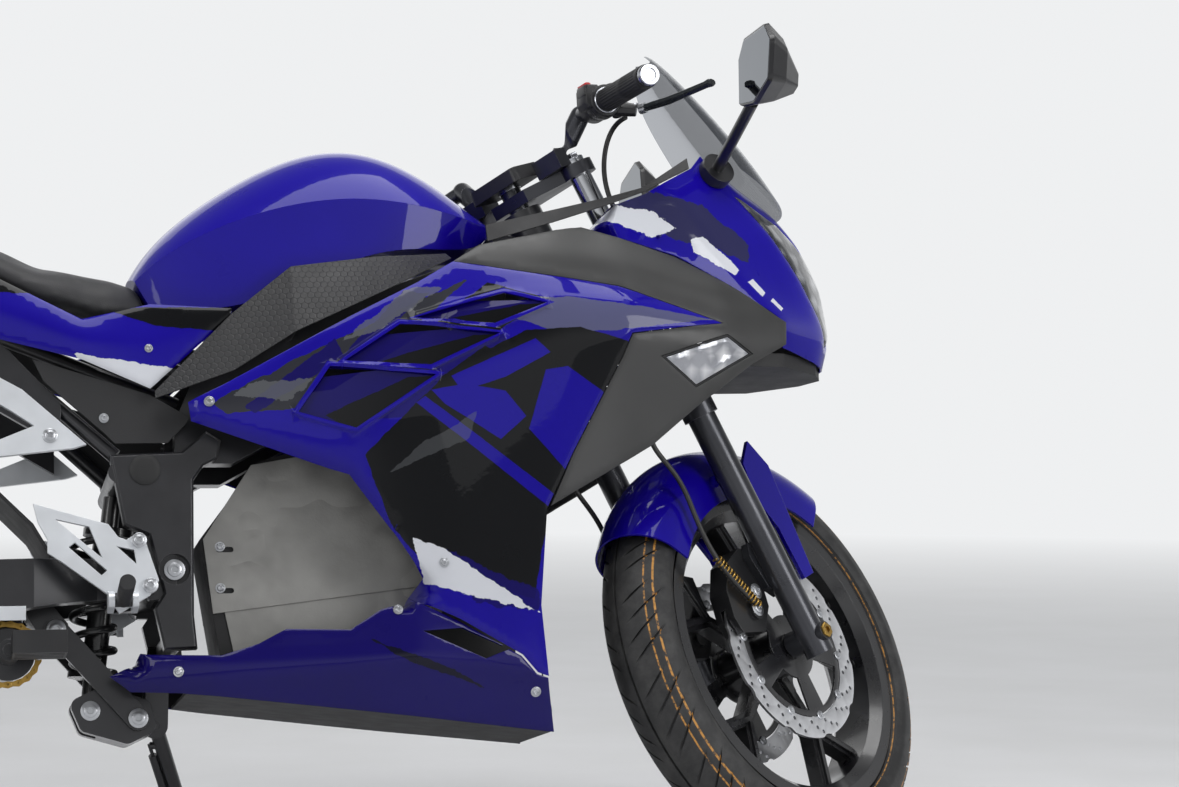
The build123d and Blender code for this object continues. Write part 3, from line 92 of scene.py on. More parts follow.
@dataclass(frozen=True)
class Stance:
    """How the upright, straight bike, in millimetres, stands once it is parked."""

    lean: float = 11.0
    pitch: float = 0.3409790247158746
    lift: float = -3.035793120059509
    shift_x: float = 53.09
    shift_y: float = -198.43
    steer: float = 38.0
    rake: float = 25.0
    offset: float = 38.0
    axle: Point = (675.0, 0.0, 293.0)

    def leg_direction(self) -> Vector:
        """Direction of the fork legs, upwards."""
        return Vector((-math.sin(math.radians(self.rake)), 0, math.cos(math.radians(self.rake))))

    def on_leg(self, distance: float, y: float = 0.0) -> Vector:
        """Point on the line of the legs, that far up from the axle."""
        return Vector(self.axle) + Vector((0, y, 0)) + self.leg_direction() * distance

    def on_stem(self, distance: float) -> Vector:
        """Point on the steering axis, that far up from the axle's height."""
        rake = math.radians(self.rake)
        foot = Vector(self.axle) - self.offset * Vector((math.cos(rake), 0, math.sin(rake)))
        return foot + self.leg_direction() * distance

    def parking(self) -> Matrix:
        """Move from the upright bike to the parked one, both in millimetres."""
        shift = Matrix.Translation((self.shift_x, self.shift_y, self.lift))
        leaning = Matrix.Rotation(math.radians(-self.lean), 4, "X")
        return shift @ leaning @ Matrix.Rotation(math.radians(self.pitch), 4, "Y")

    def steering(self) -> Matrix:
        """Turn of the front end about the steering axis, in millimetres."""
        foot = Matrix.Translation(self.on_stem(0))
        turn = Matrix.Rotation(math.radians(self.steer), 4, self.leg_direction())
        return foot @ turn @ foot.inverted()

    def place(self, steered: bool = False) -> Matrix:
        """Matrix from the upright bike in millimetres to the frame in metres.

        Args:
            steered: Whether the piece turns with the bar.

        Returns:
            The whole move, scale included.
        """
        move = self.parking() @ self.steering() if steered else self.parking()
        return Matrix.Scale(MM, 4) @ move


STANCE = Stance()
REAR_AXLE = (-725.0, 0.0, 305.0)


class Graph:
    """Adds and joins the nodes of one material or world."""

    def __init__(self, owner: bpy.types.Material | bpy.types.World) -> None:
        """Open the node tree of a new material or world.

        Args:
            owner: The material or world.
        """
        owner.use_nodes = True
        self.owner = owner
        self.tree = owner.node_tree
        self.coordinates = self.add("TexCoord").outputs
        self.place = self.coordinates["Object"]

    @property
    def shader(self) -> bpy.types.Node:
        """Main shader of a material."""
        return self.tree.nodes["Principled BSDF"]

    def put(self, node: bpy.types.Node, inputs: Inputs) -> None:
        """Put a number, a colour or another node's output into each of a node's sockets.

        Args:
            node: Node that is set.
            inputs: What goes into its sockets, by name or number.
        """
        for name, value in inputs.items():
            socket = node.inputs[name]
            if isinstance(value, bpy.types.NodeSocket):
                self.tree.links.new(value, socket)
            elif socket.type == "RGBA" and len(value) == 3:
                socket.default_value = (*value, 1.0)
            else:
                socket.default_value = value

    def add(self, kind: str, inputs: Inputs | None = None, **settings: object) -> bpy.types.Node:
        """Add a node.

        Args:
            kind: Blender's name of the node type, without the "ShaderNode" before it.
            inputs: What goes into its sockets, by name or number.
            settings: Properties of the node to set.

        Returns:
            The new node.
        """
        node = self.tree.nodes.new("ShaderNode" + kind)
        for name, value in settings.items():
            setattr(node, name, value)
        self.put(node, inputs or {})
        return node

    def math(self, operation: str, first: object, second: object = 0.0, clamp: bool = False) -> bpy.types.NodeSocket:
        """Result of a sum on one or two numbers."""
        return self.add("Math", {0: first, 1: second}, operation=operation, use_clamp=clamp).outputs[0]

    def vectors(self, operation: str, *vectors: object) -> bpy.types.NodeSocket:
        """Result of a sum on one or two vectors."""
        node = self.add("VectorMath", dict(enumerate(vectors)), operation=operation)
        return node.outputs["Value" if operation in ("DOT_PRODUCT", "LENGTH") else "Vector"]

    def noise(self, size: float, detail: float = 3.0, roughness: float = 0.55, vector: object = None,
              distortion: float = 0.0) -> bpy.types.NodeSocket:
        """Noise whose patches are about that many metres across."""
        inputs = {"Vector": vector or self.place, "Scale": 1 / size, "Detail": detail, "Roughness": roughness,
                  "Distortion": distortion}
        return self.add("TexNoise", inputs).outputs["Fac"]

    def spread(self, value: object, low: float, high: float, start: float = 0.3, end: float = 0.7,
               **settings: object) -> bpy.types.NodeSocket:
        """Map a value from its start and end to a low and a high number."""
        inputs = {"Value": value, "From Min": start, "From Max": end, "To Min": low, "To Max": high}
        return self.add("MapRange", inputs, **settings).outputs["Result"]

    def mix(self, share: object, first: object, second: object) -> bpy.types.NodeSocket:
        """Blend of two colours."""
        return self.add("Mix", {0: share, 6: first, 7: second}, data_type="RGBA").outputs[2]

    def blend(self, share: object, first: object, second: object) -> bpy.types.NodeSocket:
        """Blend of two shaders."""
        return self.add("MixShader", {0: share, 1: first, 2: second}).outputs[0]

    def rounded(self, radius: float) -> bpy.types.NodeSocket:
        """Normal of the surface with its edges rounded."""
        return self.add("Bevel", {"Radius": radius}, samples=4).outputs[0]

    def upright(self) -> bpy.types.NodeSocket:
        """Coordinates of the upright, straight bike, in metres."""
        shift = Vector((STANCE.shift_x, STANCE.shift_y, STANCE.lift)) * MM
        back = STANCE.parking().to_3x3().inverted()
        centred = self.vectors("SUBTRACT", self.place, shift)
        parts = {axis: self.vectors("DOT_PRODUCT", centred, tuple(back[axis])) for axis in range(3)}
        return self.add("CombineXYZ", parts).outputs[0]


class Grain(Enum):
    """Kinds of fine relief on a surface."""

    SMOOTH = "smooth"
    PEEL = "spray paint"
    PEBBLE = "moulded texture"
    CAST = "casting"
    BRUSHED = "brushed along"
    HEX = "cells"
    CREASED = "creased sheet"
    LEATHER = "seat cover"
    RUBBER = "rubber"


PLAIN_NOISE = (1.0, 0.4)
NOISES = {Grain.CAST: (6.0, 0.7), Grain.RUBBER: (5.0, 0.65)}
WORN_RADIUS = 0.0016
FEATHER = 0.0002
HEX_TOP, HEX_FOOT = 0.38, 0.52
HEX_OFFSET = 100.0


@dataclass(frozen=True)
class Finish:
    """One surface finish: a shader, its colour patches, its relief and its worn edges."""

    name: str
    colour: Colour
    rough: float = 0.4
    metal: float = 0.0
    coat: float = 0.0
    coat_rough: float = 0.04
    coat_ior: float = 1.5
    grain: Grain = Grain.PEEL
    size: float = 0.002
    depth: float = 0.00004
    mottle: float = 0.1
    patch: float = 0.06
    rough_spread: float = 0.06
    edge: float = 0.0
    edge_colour: Colour = (0.3, 0.3, 0.31)
    round_edge: float = 0.0008
    sheen: float = 0.0
    specular: float = 0.5

    @property
    def label(self) -> str:
        """Name of the material, unlike the names that the frame's own materials have."""
        return f"{self.name}_look"

    def relief(self, graph: Graph) -> bpy.types.NodeSocket:
        """Height of the surface, from 0 to 1, for its kind of grain."""
        cells = {"Vector": graph.place, "Scale": 1 / self.size}
        if self.grain is Grain.PEBBLE:
            pebbles = graph.add("TexVoronoi", {**cells, "Smoothness": 0.4}, feature="SMOOTH_F1")
            return graph.math("MULTIPLY", pebbles.outputs["Distance"], graph.noise(self.size * 3, 2.0))
        if self.grain is Grain.LEATHER:
            wrinkles = graph.add("TexVoronoi", cells, feature="DISTANCE_TO_EDGE")
            fold = graph.spread(wrinkles.outputs["Distance"], 0.0, 1.0, 0.0, 0.18)
            return graph.math("ADD", fold, graph.noise(self.size * 6, 3.0))
        if self.grain is Grain.BRUSHED:
            stretched = graph.add("Mapping", {"Vector": graph.place, "Scale": (0.06, 1.0, 1.0)})
            return graph.noise(self.size, 4.0, 0.7, stretched.outputs["Vector"])
        if self.grain is Grain.CREASED:
            folds = graph.noise(self.size, 1.0, 0.4, distortion=0.8)
            return graph.math("ADD", graph.math("ABSOLUTE", graph.math("SUBTRACT", folds, 0.5)),
                              graph.math("MULTIPLY", graph.noise(0.004, 3.0), 0.02))
        if self.grain is Grain.HEX:
            return self.hex_cells(graph)
        return graph.noise(self.size, *NOISES.get(self.grain, PLAIN_NOISE))

    def hex_cells(self, graph: Graph) -> bpy.types.NodeSocket:
        """Raised six-sided cells in side view, from two staggered grids of points."""
        flat = graph.add("SeparateXYZ", {0: graph.upright()})
        nearest = []
        for shift in (0.0, 0.5):
            parts = []
            for axis, step in (("X", self.size), ("Z", self.size * math.sqrt(3))):
                cell = graph.math("ADD", graph.math("DIVIDE", flat.outputs[axis], step), shift + HEX_OFFSET)
                off = graph.math("SUBTRACT", graph.math("FRACT", cell), 0.5)
                parts.append(graph.math("POWER", graph.math("ABSOLUTE", graph.math("MULTIPLY", off, step)), 2.0))
            nearest.append(graph.math("ADD", *parts))
        far = graph.math("SQRT", graph.math("MINIMUM", *nearest))
        return graph.spread(far, 1.0, 0.0, self.size * HEX_TOP, self.size * HEX_FOOT)

    def tint(self, graph: Graph) -> bpy.types.NodeSocket:
        """Colour with its lighter and darker patches."""
        dark = tuple(c * (1 - self.mottle) for c in self.colour)
        light = tuple(min(1.0, c * (1 + self.mottle) + 0.01 * self.mottle) for c in self.colour)
        return graph.mix(graph.spread(graph.noise(self.patch), 0.0, 1.0), dark, light)

    def edges(self, graph: Graph, colour: object) -> object:
        """Colour rubbed through along the sharp edges."""
        normal = graph.add("NewGeometry").outputs["Normal"]
        near = graph.vectors("DOT_PRODUCT", graph.rounded(WORN_RADIUS), normal)
        bare = graph.spread(near, 1.0, 0.0, 0.8, 0.985)
        worn = graph.math("MULTIPLY", bare, graph.spread(graph.noise(0.009, 5.0), 0.0, self.edge, 0.42, 0.62), True)
        return graph.mix(worn, colour, self.edge_colour)

    def shade(self, graph: Graph, colour: object) -> None:
        """Set the shader from the finish, for a colour that may come from other nodes."""
        low, high = max(0.02, self.rough - self.rough_spread), min(1.0, self.rough + self.rough_spread)
        bump = graph.add("Bump", {"Distance": self.depth, "Height": self.relief(graph)})
        if self.round_edge:
            graph.put(bump, {"Normal": graph.rounded(self.round_edge)})
        graph.put(graph.shader, {
            "Base Color": self.edges(graph, colour) if self.edge else colour,
            "Roughness": graph.spread(graph.noise(self.patch * 0.5, 4.0), low, high), "Metallic": self.metal,
            "Specular IOR Level": self.specular, "Coat Weight": self.coat, "Coat Roughness": self.coat_rough,
            "Coat IOR": self.coat_ior, "Sheen Weight": self.sheen, "Sheen Roughness": 0.4, "Normal": bump.outputs[0],
        })
        if self.coat:
            graph.put(graph.shader, {"Coat Normal": bump.outputs[0]})

    def paint(self, graph: Graph) -> None:
        """Fill the material in; the finishes with a pattern do it in their own way."""
        self.shade(graph, self.tint(graph))

    def build(self) -> bpy.types.Material:
        """Material of this finish, made once and then shared.

        Returns:
            The Blender material.
        """
        found = bpy.data.materials.get(self.label)
        if found:
            return found
        graph = Graph(bpy.data.materials.new(self.label))
        self.paint(graph)
        return graph.owner


@dataclass(frozen=True)
class Decal:
    """A flat patch of colour in side view, with torn edges."""

    colour: Colour
    corners: tuple[Spot, ...]
    tear: float = 0.0
    tear_size: float = 0.02
    keep: float = 1.0
    seed: float = 0.0

    def cover(self, graph: Graph, upright: bpy.types.NodeSocket) -> bpy.types.NodeSocket:
        """Share of the patch at a point, from the nearest side of its outline.

        Args:
            graph: Material being made.
            upright: Coordinates of the upright bike.

        Returns:
            A number from 0, outside, to 1, inside.
        """
        middle = Vector((sum(x for x, _ in self.corners), sum(z for _, z in self.corners))) / len(self.corners)
        inside = None
        for start, end in zip(self.corners, (*self.corners[1:], self.corners[0])):
            along = (Vector(end) - Vector(start)).normalized()
            across = Vector((-along.y, along.x))
            if across.dot(middle - Vector(start)) < 0:
                across = -across
            away = graph.vectors("DOT_PRODUCT", upright, (across.x, 0.0, across.y))
            reach = graph.math("SUBTRACT", away, across.dot(Vector(start)) * MM)
            inside = reach if inside is None else graph.math("MINIMUM", inside, reach)
        if self.tear:
            shifted = graph.vectors("ADD", upright, (self.seed, self.seed * 0.7, self.seed * 1.3))
            ragged = graph.math("SUBTRACT", graph.noise(self.tear_size, 6.0, 0.62, shifted), 0.5)
            inside = graph.math("ADD", inside, graph.math("MULTIPLY", ragged, self.tear * 2))
        return graph.math("MULTIPLY", graph.spread(inside, 0.0, 1.0, -FEATHER, FEATHER), self.keep)


@dataclass(frozen=True)
class Livery(Finish):
    """Gloss paint that carries decals under its clear coat."""

    decals: tuple[Decal, ...] = ()

    def paint(self, graph: Graph) -> None:
        """Fill the material in, decal upon decal."""
        colour = self.tint(graph)
        upright = graph.upright()
        for decal in self.decals:
            colour = graph.mix(decal.cover(graph, upright), colour, decal.colour)
        self.shade(graph, colour)


BLUE = srgb(18, 2, 138)
DEEP_BLUE = srgb(12, 2, 88)
INK = srgb(9, 10, 13)
SMOKE = srgb(92, 94, 97)
SOOT = srgb(44, 45, 51)
HAZE = srgb(92, 94, 104)
CHALK = srgb(204, 206, 212)

PAINT = Finish("blue_paint", BLUE, rough=0.3, coat=0.85, coat_rough=0.02, coat_ior=1.34, size=0.006, depth=0.00001,
               mottle=0.07, patch=0.15, rough_spread=0.04, round_edge=0.0012, specular=0.05)
MIRROR_CASE = Finish("mirror_case", srgb(24, 24, 27), rough=0.34, coat=0.3, coat_rough=0.15, size=0.004,
                     depth=0.00002, mottle=0.12, round_edge=0.0012)
PANEL_GREY = Finish("grey_panel", srgb(50, 50, 50), rough=0.44, grain=Grain.PEBBLE, size=0.0006, depth=0.00002,
                    patch=0.08, rough_spread=0.05, round_edge=0.0014)
TRIM = Finish("textured_trim", srgb(30, 30, 32), rough=0.62, grain=Grain.PEBBLE, size=0.0012, depth=0.00012,
              mottle=0.12, round_edge=0.001)
KNEE = Finish("knee_pad", srgb(34, 34, 36), rough=0.55, grain=Grain.HEX, size=0.009, depth=0.0004, round_edge=0.001)
FRAME = Finish("frame_paint", srgb(42, 42, 45), rough=0.34, metal=0.55, coat=0.7, coat_rough=0.2, grain=Grain.CAST,
               size=0.0016, depth=0.00003, mottle=0.15, edge=0.5, edge_colour=srgb(120, 120, 124), round_edge=0.0012)
FORK = Finish("fork_paint", srgb(62, 63, 68), rough=0.32, metal=0.7, coat=0.3, coat_rough=0.15, grain=Grain.CAST,
              size=0.0008, depth=0.00001, mottle=0.12, edge=0.35, edge_colour=srgb(140, 140, 146))
FORK_TUBE = Finish("fork_tube", srgb(186, 188, 192), rough=0.12, metal=1.0, grain=Grain.BRUSHED, size=0.0006,
                   depth=0.000004)
RIM = Finish("rim_paint", srgb(22, 22, 25), rough=0.3, coat=0.6, coat_rough=0.12, size=0.004, depth=0.00002,
             mottle=0.12, edge=0.25, edge_colour=srgb(90, 90, 95), round_edge=0.0016)
DISC = Finish("disc_steel", srgb(226, 227, 230), rough=0.34, metal=1.0, grain=Grain.BRUSHED, size=0.0008,
              depth=0.00001, mottle=0.08, patch=0.03, round_edge=0.0)
BRACKET = Finish("bracket_silver", srgb(220, 223, 227), rough=0.36, metal=0.45, grain=Grain.CAST, size=0.001,
                 depth=0.00003, mottle=0.06, edge=0.3, edge_colour=srgb(235, 235, 238), round_edge=0.0012)
SHEET = Finish("battery_sheet", srgb(146, 145, 142), rough=0.44, metal=0.5, grain=Grain.CREASED, size=0.12,
               depth=0.008, mottle=0.24, patch=0.09, rough_spread=0.16, edge=0.4)
CALIPER = Finish("caliper_black", srgb(20, 20, 22), rough=0.36, coat=0.3, coat_rough=0.2, grain=Grain.CAST,
                 size=0.0012, mottle=0.15, edge=0.4, edge_colour=srgb(110, 110, 112))
RUBBER = Finish("black_rubber", srgb(24, 24, 25), rough=0.6, grain=Grain.RUBBER, size=0.0012, mottle=0.16,
                round_edge=0.0006)
HOSE = Finish("hose_rubber", srgb(38, 37, 36), rough=0.45, grain=Grain.RUBBER, size=0.0016, depth=0.00005,
              mottle=0.2, patch=0.02, round_edge=0.0)
SWITCH = Finish("switch_plastic", srgb(28, 28, 31), rough=0.42, grain=Grain.PEBBLE, size=0.0008, depth=0.00005,
                round_edge=0.001)
LEVER = Finish("lever_paint", srgb(48, 52, 55), rough=0.3, metal=0.5, size=0.003, depth=0.00001, edge=0.4,
               edge_colour=srgb(170, 172, 176))
BATTERY = Finish("battery_case", srgb(26, 26, 28), rough=0.5, grain=Grain.PEBBLE, depth=0.00006, mottle=0.15)
SPRING = Finish("spring_paint", srgb(22, 22, 24), rough=0.3, coat=0.5, coat_rough=0.1, size=0.003, depth=0.00002,
                mottle=0.15, round_edge=0.0)
PEDAL = Finish("pedal_plastic", srgb(30, 30, 32), rough=0.5, grain=Grain.PEBBLE, size=0.001, depth=0.00008,
               mottle=0.15)
COVER = Finish("seat_cover", srgb(30, 30, 33), rough=0.5, grain=Grain.LEATHER, size=0.0022, depth=0.00012,
               mottle=0.12, patch=0.05, sheen=0.15, round_edge=0.0)
CHROME = Finish("chrome", srgb(176, 178, 184), rough=0.2, metal=1.0, grain=Grain.SMOOTH, size=0.02, depth=0.00001,
                mottle=0.03, rough_spread=0.03)
ZINC = Finish("zinc_bolt", srgb(186, 188, 192), rough=0.34, metal=1.0, grain=Grain.CAST, size=0.0006, depth=0.00002)
BRASS = Finish("brass_chain", srgb(176, 142, 74), rough=0.36, metal=1.0, grain=Grain.CAST, size=0.001, depth=0.00003,
               mottle=0.2, patch=0.01, edge=0.3, edge_colour=srgb(214, 186, 120))
RED = Finish("red_switch", srgb(190, 26, 30), rough=0.35, depth=0.00002)
AMBER = Finish("amber_lens", srgb(214, 120, 22), rough=0.12, coat=1.0, size=0.004, depth=0.0001, mottle=0.15,
               patch=0.01)
RED_LENS = Finish("red_lens", srgb(168, 14, 18), rough=0.12, coat=1.0, size=0.004, depth=0.0001, mottle=0.2,
                  patch=0.012)


@dataclass(frozen=True)
class LensFinish(Finish):
    """Clear moulded lens over a faceted reflector, whose glints and shade are painted into its colour facet by facet.
    """

    facet: float = 0.012
    # Colours of the painted glints and of the painted shade at the facets' edges.
    bright: Colour = CHALK
    shadow: Colour = SMOKE

    def paint(self, graph: Graph) -> None:
        """Fill the material in, with painted glints and shade on the facets, and the facets as relief."""
        inputs = {"Vector": graph.upright(), "Scale": 1 / self.facet, "Randomness": 0.35}
        facets = graph.add("TexVoronoi", inputs, distance="MANHATTAN").outputs["Distance"]
        # Painted glint: each facet is bright in its middle and falls to the shadow colour at its edges.
        painted_glint = graph.spread(facets, 1.0, 0.0, 0.1, 0.75)
        painted_glint_share = graph.math("MULTIPLY", painted_glint, graph.spread(graph.noise(self.facet * 3, 1.0), 0.55, 1.0), True)
        self.shade(graph, graph.mix(painted_glint_share, self.shadow, self.bright))
        relief = graph.add("Bump", {"Distance": 0.0012, "Height": facets})
        graph.put(graph.shader, {"Normal": relief.outputs[0]})


# Indicator and headlight lenses, with their reflectors' glints and shade painted into the colour.
LENS = LensFinish("signal_lens", CHALK, rough=0.18, metal=0.35, coat=1.0, coat_rough=0.02, facet=0.026,
                  bright=srgb(236, 236, 238), shadow=srgb(150, 152, 158))
LAMP = LensFinish("headlight_lens", CHALK, rough=0.12, metal=0.6, coat=1.0, coat_rough=0.02, facet=0.03,
                  bright=srgb(206, 208, 212), shadow=srgb(58, 60, 66))


@dataclass(frozen=True)
class ScreenFinish(Finish):
    """Thin smoked sheet that shows what stands behind it."""

    tint_share: float = 0.5

    def paint(self, graph: Graph) -> None:
        """Fill the material in, and let most of the light through."""
        self.shade(graph, self.tint(graph))
        clear = graph.add("BsdfTransparent", {"Color": (0.78, 0.79, 0.81)})
        fresnel = graph.add("Fresnel", {"IOR": 1.45})
        share = graph.math("ADD", graph.math("MULTIPLY", fresnel.outputs[0], 0.5), self.tint_share, True)
        surface = graph.blend(share, clear.outputs[0], graph.shader.outputs[0])
        graph.put(graph.tree.nodes["Material Output"], {"Surface": surface})


SCREEN = ScreenFinish("smoked_screen", srgb(52, 54, 58), rough=0.06, coat=0.6, coat_rough=0.03, grain=Grain.SMOOTH,
                      size=0.1, depth=0.00002, mottle=0.05, round_edge=0.0, tint_share=0.08)
DASH_GLASS = Finish("dash_glass", srgb(12, 13, 16), rough=0.08, coat=1.0, grain=Grain.SMOOTH, size=0.1,
                    depth=0.00001, mottle=0.1)
MIRROR_GLASS = Finish("mirror_glass", srgb(112, 117, 124), rough=0.03, metal=1.0, grain=Grain.SMOOTH, size=0.1,
                      depth=0.000005, mottle=0.02, rough_spread=0.01)


@dataclass(frozen=True)
class TyreFinish(Finish):
    """Tyre rubber with a worn-in bloom and two thin coloured stripes."""

    middle: Point = (0.0, 0.0, 0.0)
    axis: Point = (0.0, 1.0, 0.0)
    stripe_spots: tuple[float, ...] = ()
    stripe_colour: Colour = srgb(196, 138, 58)
    dust_colour: Colour = srgb(74, 73, 72)

    def paint(self, graph: Graph) -> None:
        """Fill the material in, with dust and the broken stripes."""
        side = graph.vectors("DOT_PRODUCT", graph.vectors("SUBTRACT", graph.place, self.middle), self.axis)
        dust = graph.spread(graph.noise(0.035, 8.0, 0.7), 0.0, 0.55, 0.45, 0.75)
        colour = graph.mix(dust, self.tint(graph), self.dust_colour)
        for spot in self.stripe_spots:
            line = graph.spread(graph.math("ABSOLUTE", graph.math("SUBTRACT", side, spot)), 1.0, 0.0, 0.0006, 0.0010)
            broken = graph.math("MULTIPLY", line, graph.spread(graph.noise(0.006, 5.0), 0.0, 0.9, 0.38, 0.56))
            colour = graph.mix(broken, colour, self.stripe_colour)
        self.shade(graph, colour)


def circle(middle: Vector, side: Vector, other: Vector, radius: float, steps: int) -> list[Vector]:
    """Corners of a circle in the plane of two directions."""
    turns = (math.tau * step / steps for step in range(steps))
    return [middle + (side * math.cos(turn) + other * math.sin(turn)) * radius for turn in turns]


def square_to(axis: Vector) -> tuple[Vector, Vector, Vector]:
    """Direction of an axis and two directions square to it."""
    axis = Vector(axis).normalized()
    side = axis.orthogonal().normalized()
    return axis, side, axis.cross(side)


def headings(path: Sequence[Vector]) -> list[Vector]:
    """Direction of a path at each of its points."""
    befores, afters = [path[0], *path], [*path[1:], path[-1]]
    return [(Vector(after) - Vector(before)).normalized() for before, after in zip(befores, afters)]


SHARP_EDGE = math.radians(35)
SHADED_EDGE = math.radians(38)
COIL_STEPS = 12


@dataclass
class Mesh:
    """Corners and faces of a piece, in millimetres on the upright bike."""

    points: list[Vector] = field(default_factory=list)
    faces: list[tuple[int, ...]] = field(default_factory=list)
    inner_faces: set[int] = field(default_factory=set)

    def add_points(self, points: Sequence[Vector]) -> int:
        """Add corners and give the number of the first."""
        start = len(self.points)
        self.points.extend(Vector(p) for p in points)
        return start

    def rings(self, rings: Sequence[Sequence[Vector]], caps: bool = True, around: bool = False) -> None:
        """Skin a row of closed rings that have the same number of corners.

        Args:
            rings: Corners of each ring, in order.
            caps: Whether the first and last ring are filled.
            around: Whether the last ring joins the first, which leaves none to fill.
        """
        count, total = len(rings[0]), len(rings)
        start = self.add_points([p for ring in rings for p in ring])
        for row in range(total if around else total - 1):
            low, high = start + row * count, start + (row + 1) % total * count
            for step in range(count):
                beside = (step + 1) % count
                self.faces.append((low + step, low + beside, high + beside, high + step))
        if caps and not around:
            self.faces.append(tuple(start + step for step in reversed(range(count))))
            self.faces.append(tuple(start + (total - 1) * count + step for step in range(count)))

    def lathe(self, base: Vector, axis: Vector, profile: Sequence[Spot], steps: int = 32, caps: bool = True) -> None:
        """Turn a profile of (distance along, radius) about an axis.

        Args:
            base: Point on the axis that distances start from.
            axis: Direction of the axis.
            profile: Rows of distance along the axis and radius.
            steps: Facets round the axis.
            caps: Whether the ends are filled.
        """
        axis, side, other = square_to(axis)
        rings = [circle(base + axis * along, side, other, radius, steps) for along, radius in profile]
        self.rings(rings, caps=caps)

    def tube(self, path: Sequence[Vector], radius: float, steps: int = 12) -> None:
        """Round tube along a path of points."""
        rings = []
        side = (path[1] - path[0]).orthogonal().normalized()
        for spot, along in zip(path, headings(path)):
            side = (side - along * side.dot(along)).normalized()
            rings.append(circle(spot, side, along.cross(side), radius, steps))
        self.rings(rings)

    def blade(self, path: Sequence[Vector], up: Vector, sizes: Sequence[Spot], soften: float = 0.35) -> None:
        """Bar with a soft rectangular section along a path.

        Args:
            path: Points of its middle line.
            up: Direction that stays the section's height.
            sizes: Width and height of the section at each point.
            soften: Share of the section that its rounded corners take.
        """
        rings = []
        corners = [(1, soften), (1, -soften), (soften, -1), (-soften, -1), (-1, -soften), (-1, soften), (-soften, 1),
                   (soften, 1)]
        for spot, along, (width, height) in zip(path, headings(path), sizes):
            across = along.cross(up).normalized()
            rise = across.cross(along)
            rings.append([spot + across * (a * width / 2) + rise * (b * height / 2) for a, b in corners])
        self.rings(rings)

    def coil(self, start: Vector, end: Vector, radius: float, wire: float, turns: int) -> None:
        """Wire spring round a line."""
        _, side, other = square_to(end - start)
        path = []
        for step in range(turns * COIL_STEPS + 1):
            turn = math.tau * step / COIL_STEPS
            along = start.lerp(end, step / (turns * COIL_STEPS))
            path.append(along + (side * math.cos(turn) + other * math.sin(turn)) * radius)
        self.tube(path, wire, 6)

    def plate(self, base: Vector, across: Vector, up: Vector, corners: Sequence[Spot], wall: float) -> None:
        """Flat plate from an outline in its own plane, thick along the plane's normal."""
        across, up = across.normalized(), up.normalized()
        self.slab([base + across * x + up * y for x, y in corners], across.cross(up) * wall)

    def slab(self, low: Sequence[Vector], rise: Vector) -> None:
        """Flat piece between an outline and the same outline moved."""
        self.rings([low, [p + rise for p in low]])

    def mirrored(self) -> "Mesh":
        """The same piece on the other side of the bike."""
        points = [Vector((p.x, -p.y, p.z)) for p in self.points]
        return Mesh(points, [tuple(reversed(f)) for f in self.faces], set(self.inner_faces))

    def join(self, other: "Mesh") -> None:
        """Take in another mesh."""
        before = len(self.faces)
        start = self.add_points(other.points)
        self.faces.extend(tuple(start + corner for corner in face) for face in other.faces)
        self.inner_faces.update(before + face for face in other.inner_faces)

    def piece(self, name: str, body: str, finish: Finish, slot: str, steered: bool = False,
              bevel: float = 0.0, inner: Finish | None = None) -> bpy.types.Object:
        """Object of this mesh, in place and riding on its body.

        Args:
            name: Name of the piece.
            body: Body that it rides on.
            finish: Its finish.
            slot: Material slot of the record; not used.
            steered: Whether it turns with the bar.
            bevel: Width in millimetres of its rounded edges.
            inner: Finish of its inner faces, where they have their own.

        Returns:
            The new object.
        """
        data = bpy.data.meshes.new(name)
        move = STANCE.place(steered)
        data.from_pydata([move @ p for p in self.points], [], self.faces)
        for face in self.inner_faces:
            data.polygons[face].material_index = 1
        data.validate()
        work = bmesh.new()
        work.from_mesh(data)
        bmesh.ops.recalc_face_normals(work, faces=work.faces)
        if bevel:
            sharp = [e for e in work.edges if len(e.link_faces) == 2 and e.calc_face_angle() > SHARP_EDGE]
            bmesh.ops.bevel(work, geom=sharp, offset=bevel * MM, segments=2, profile=0.7, affect="EDGES")
        work.to_mesh(data)
        work.free()
        piece = bpy.data.objects.new(name, data)
        bpy.context.scene.collection.objects.link(piece)
        data.materials.append(finish.build())
        if inner:
            data.materials.append(inner.build())
        data.shade_smooth()
        data.set_sharp_from_angle(angle=SHADED_EDGE)
        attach(piece, body)
        log.info("made %s with %d faces", name, len(data.polygons))
        return piece


FAR = 600
MISSED = 100


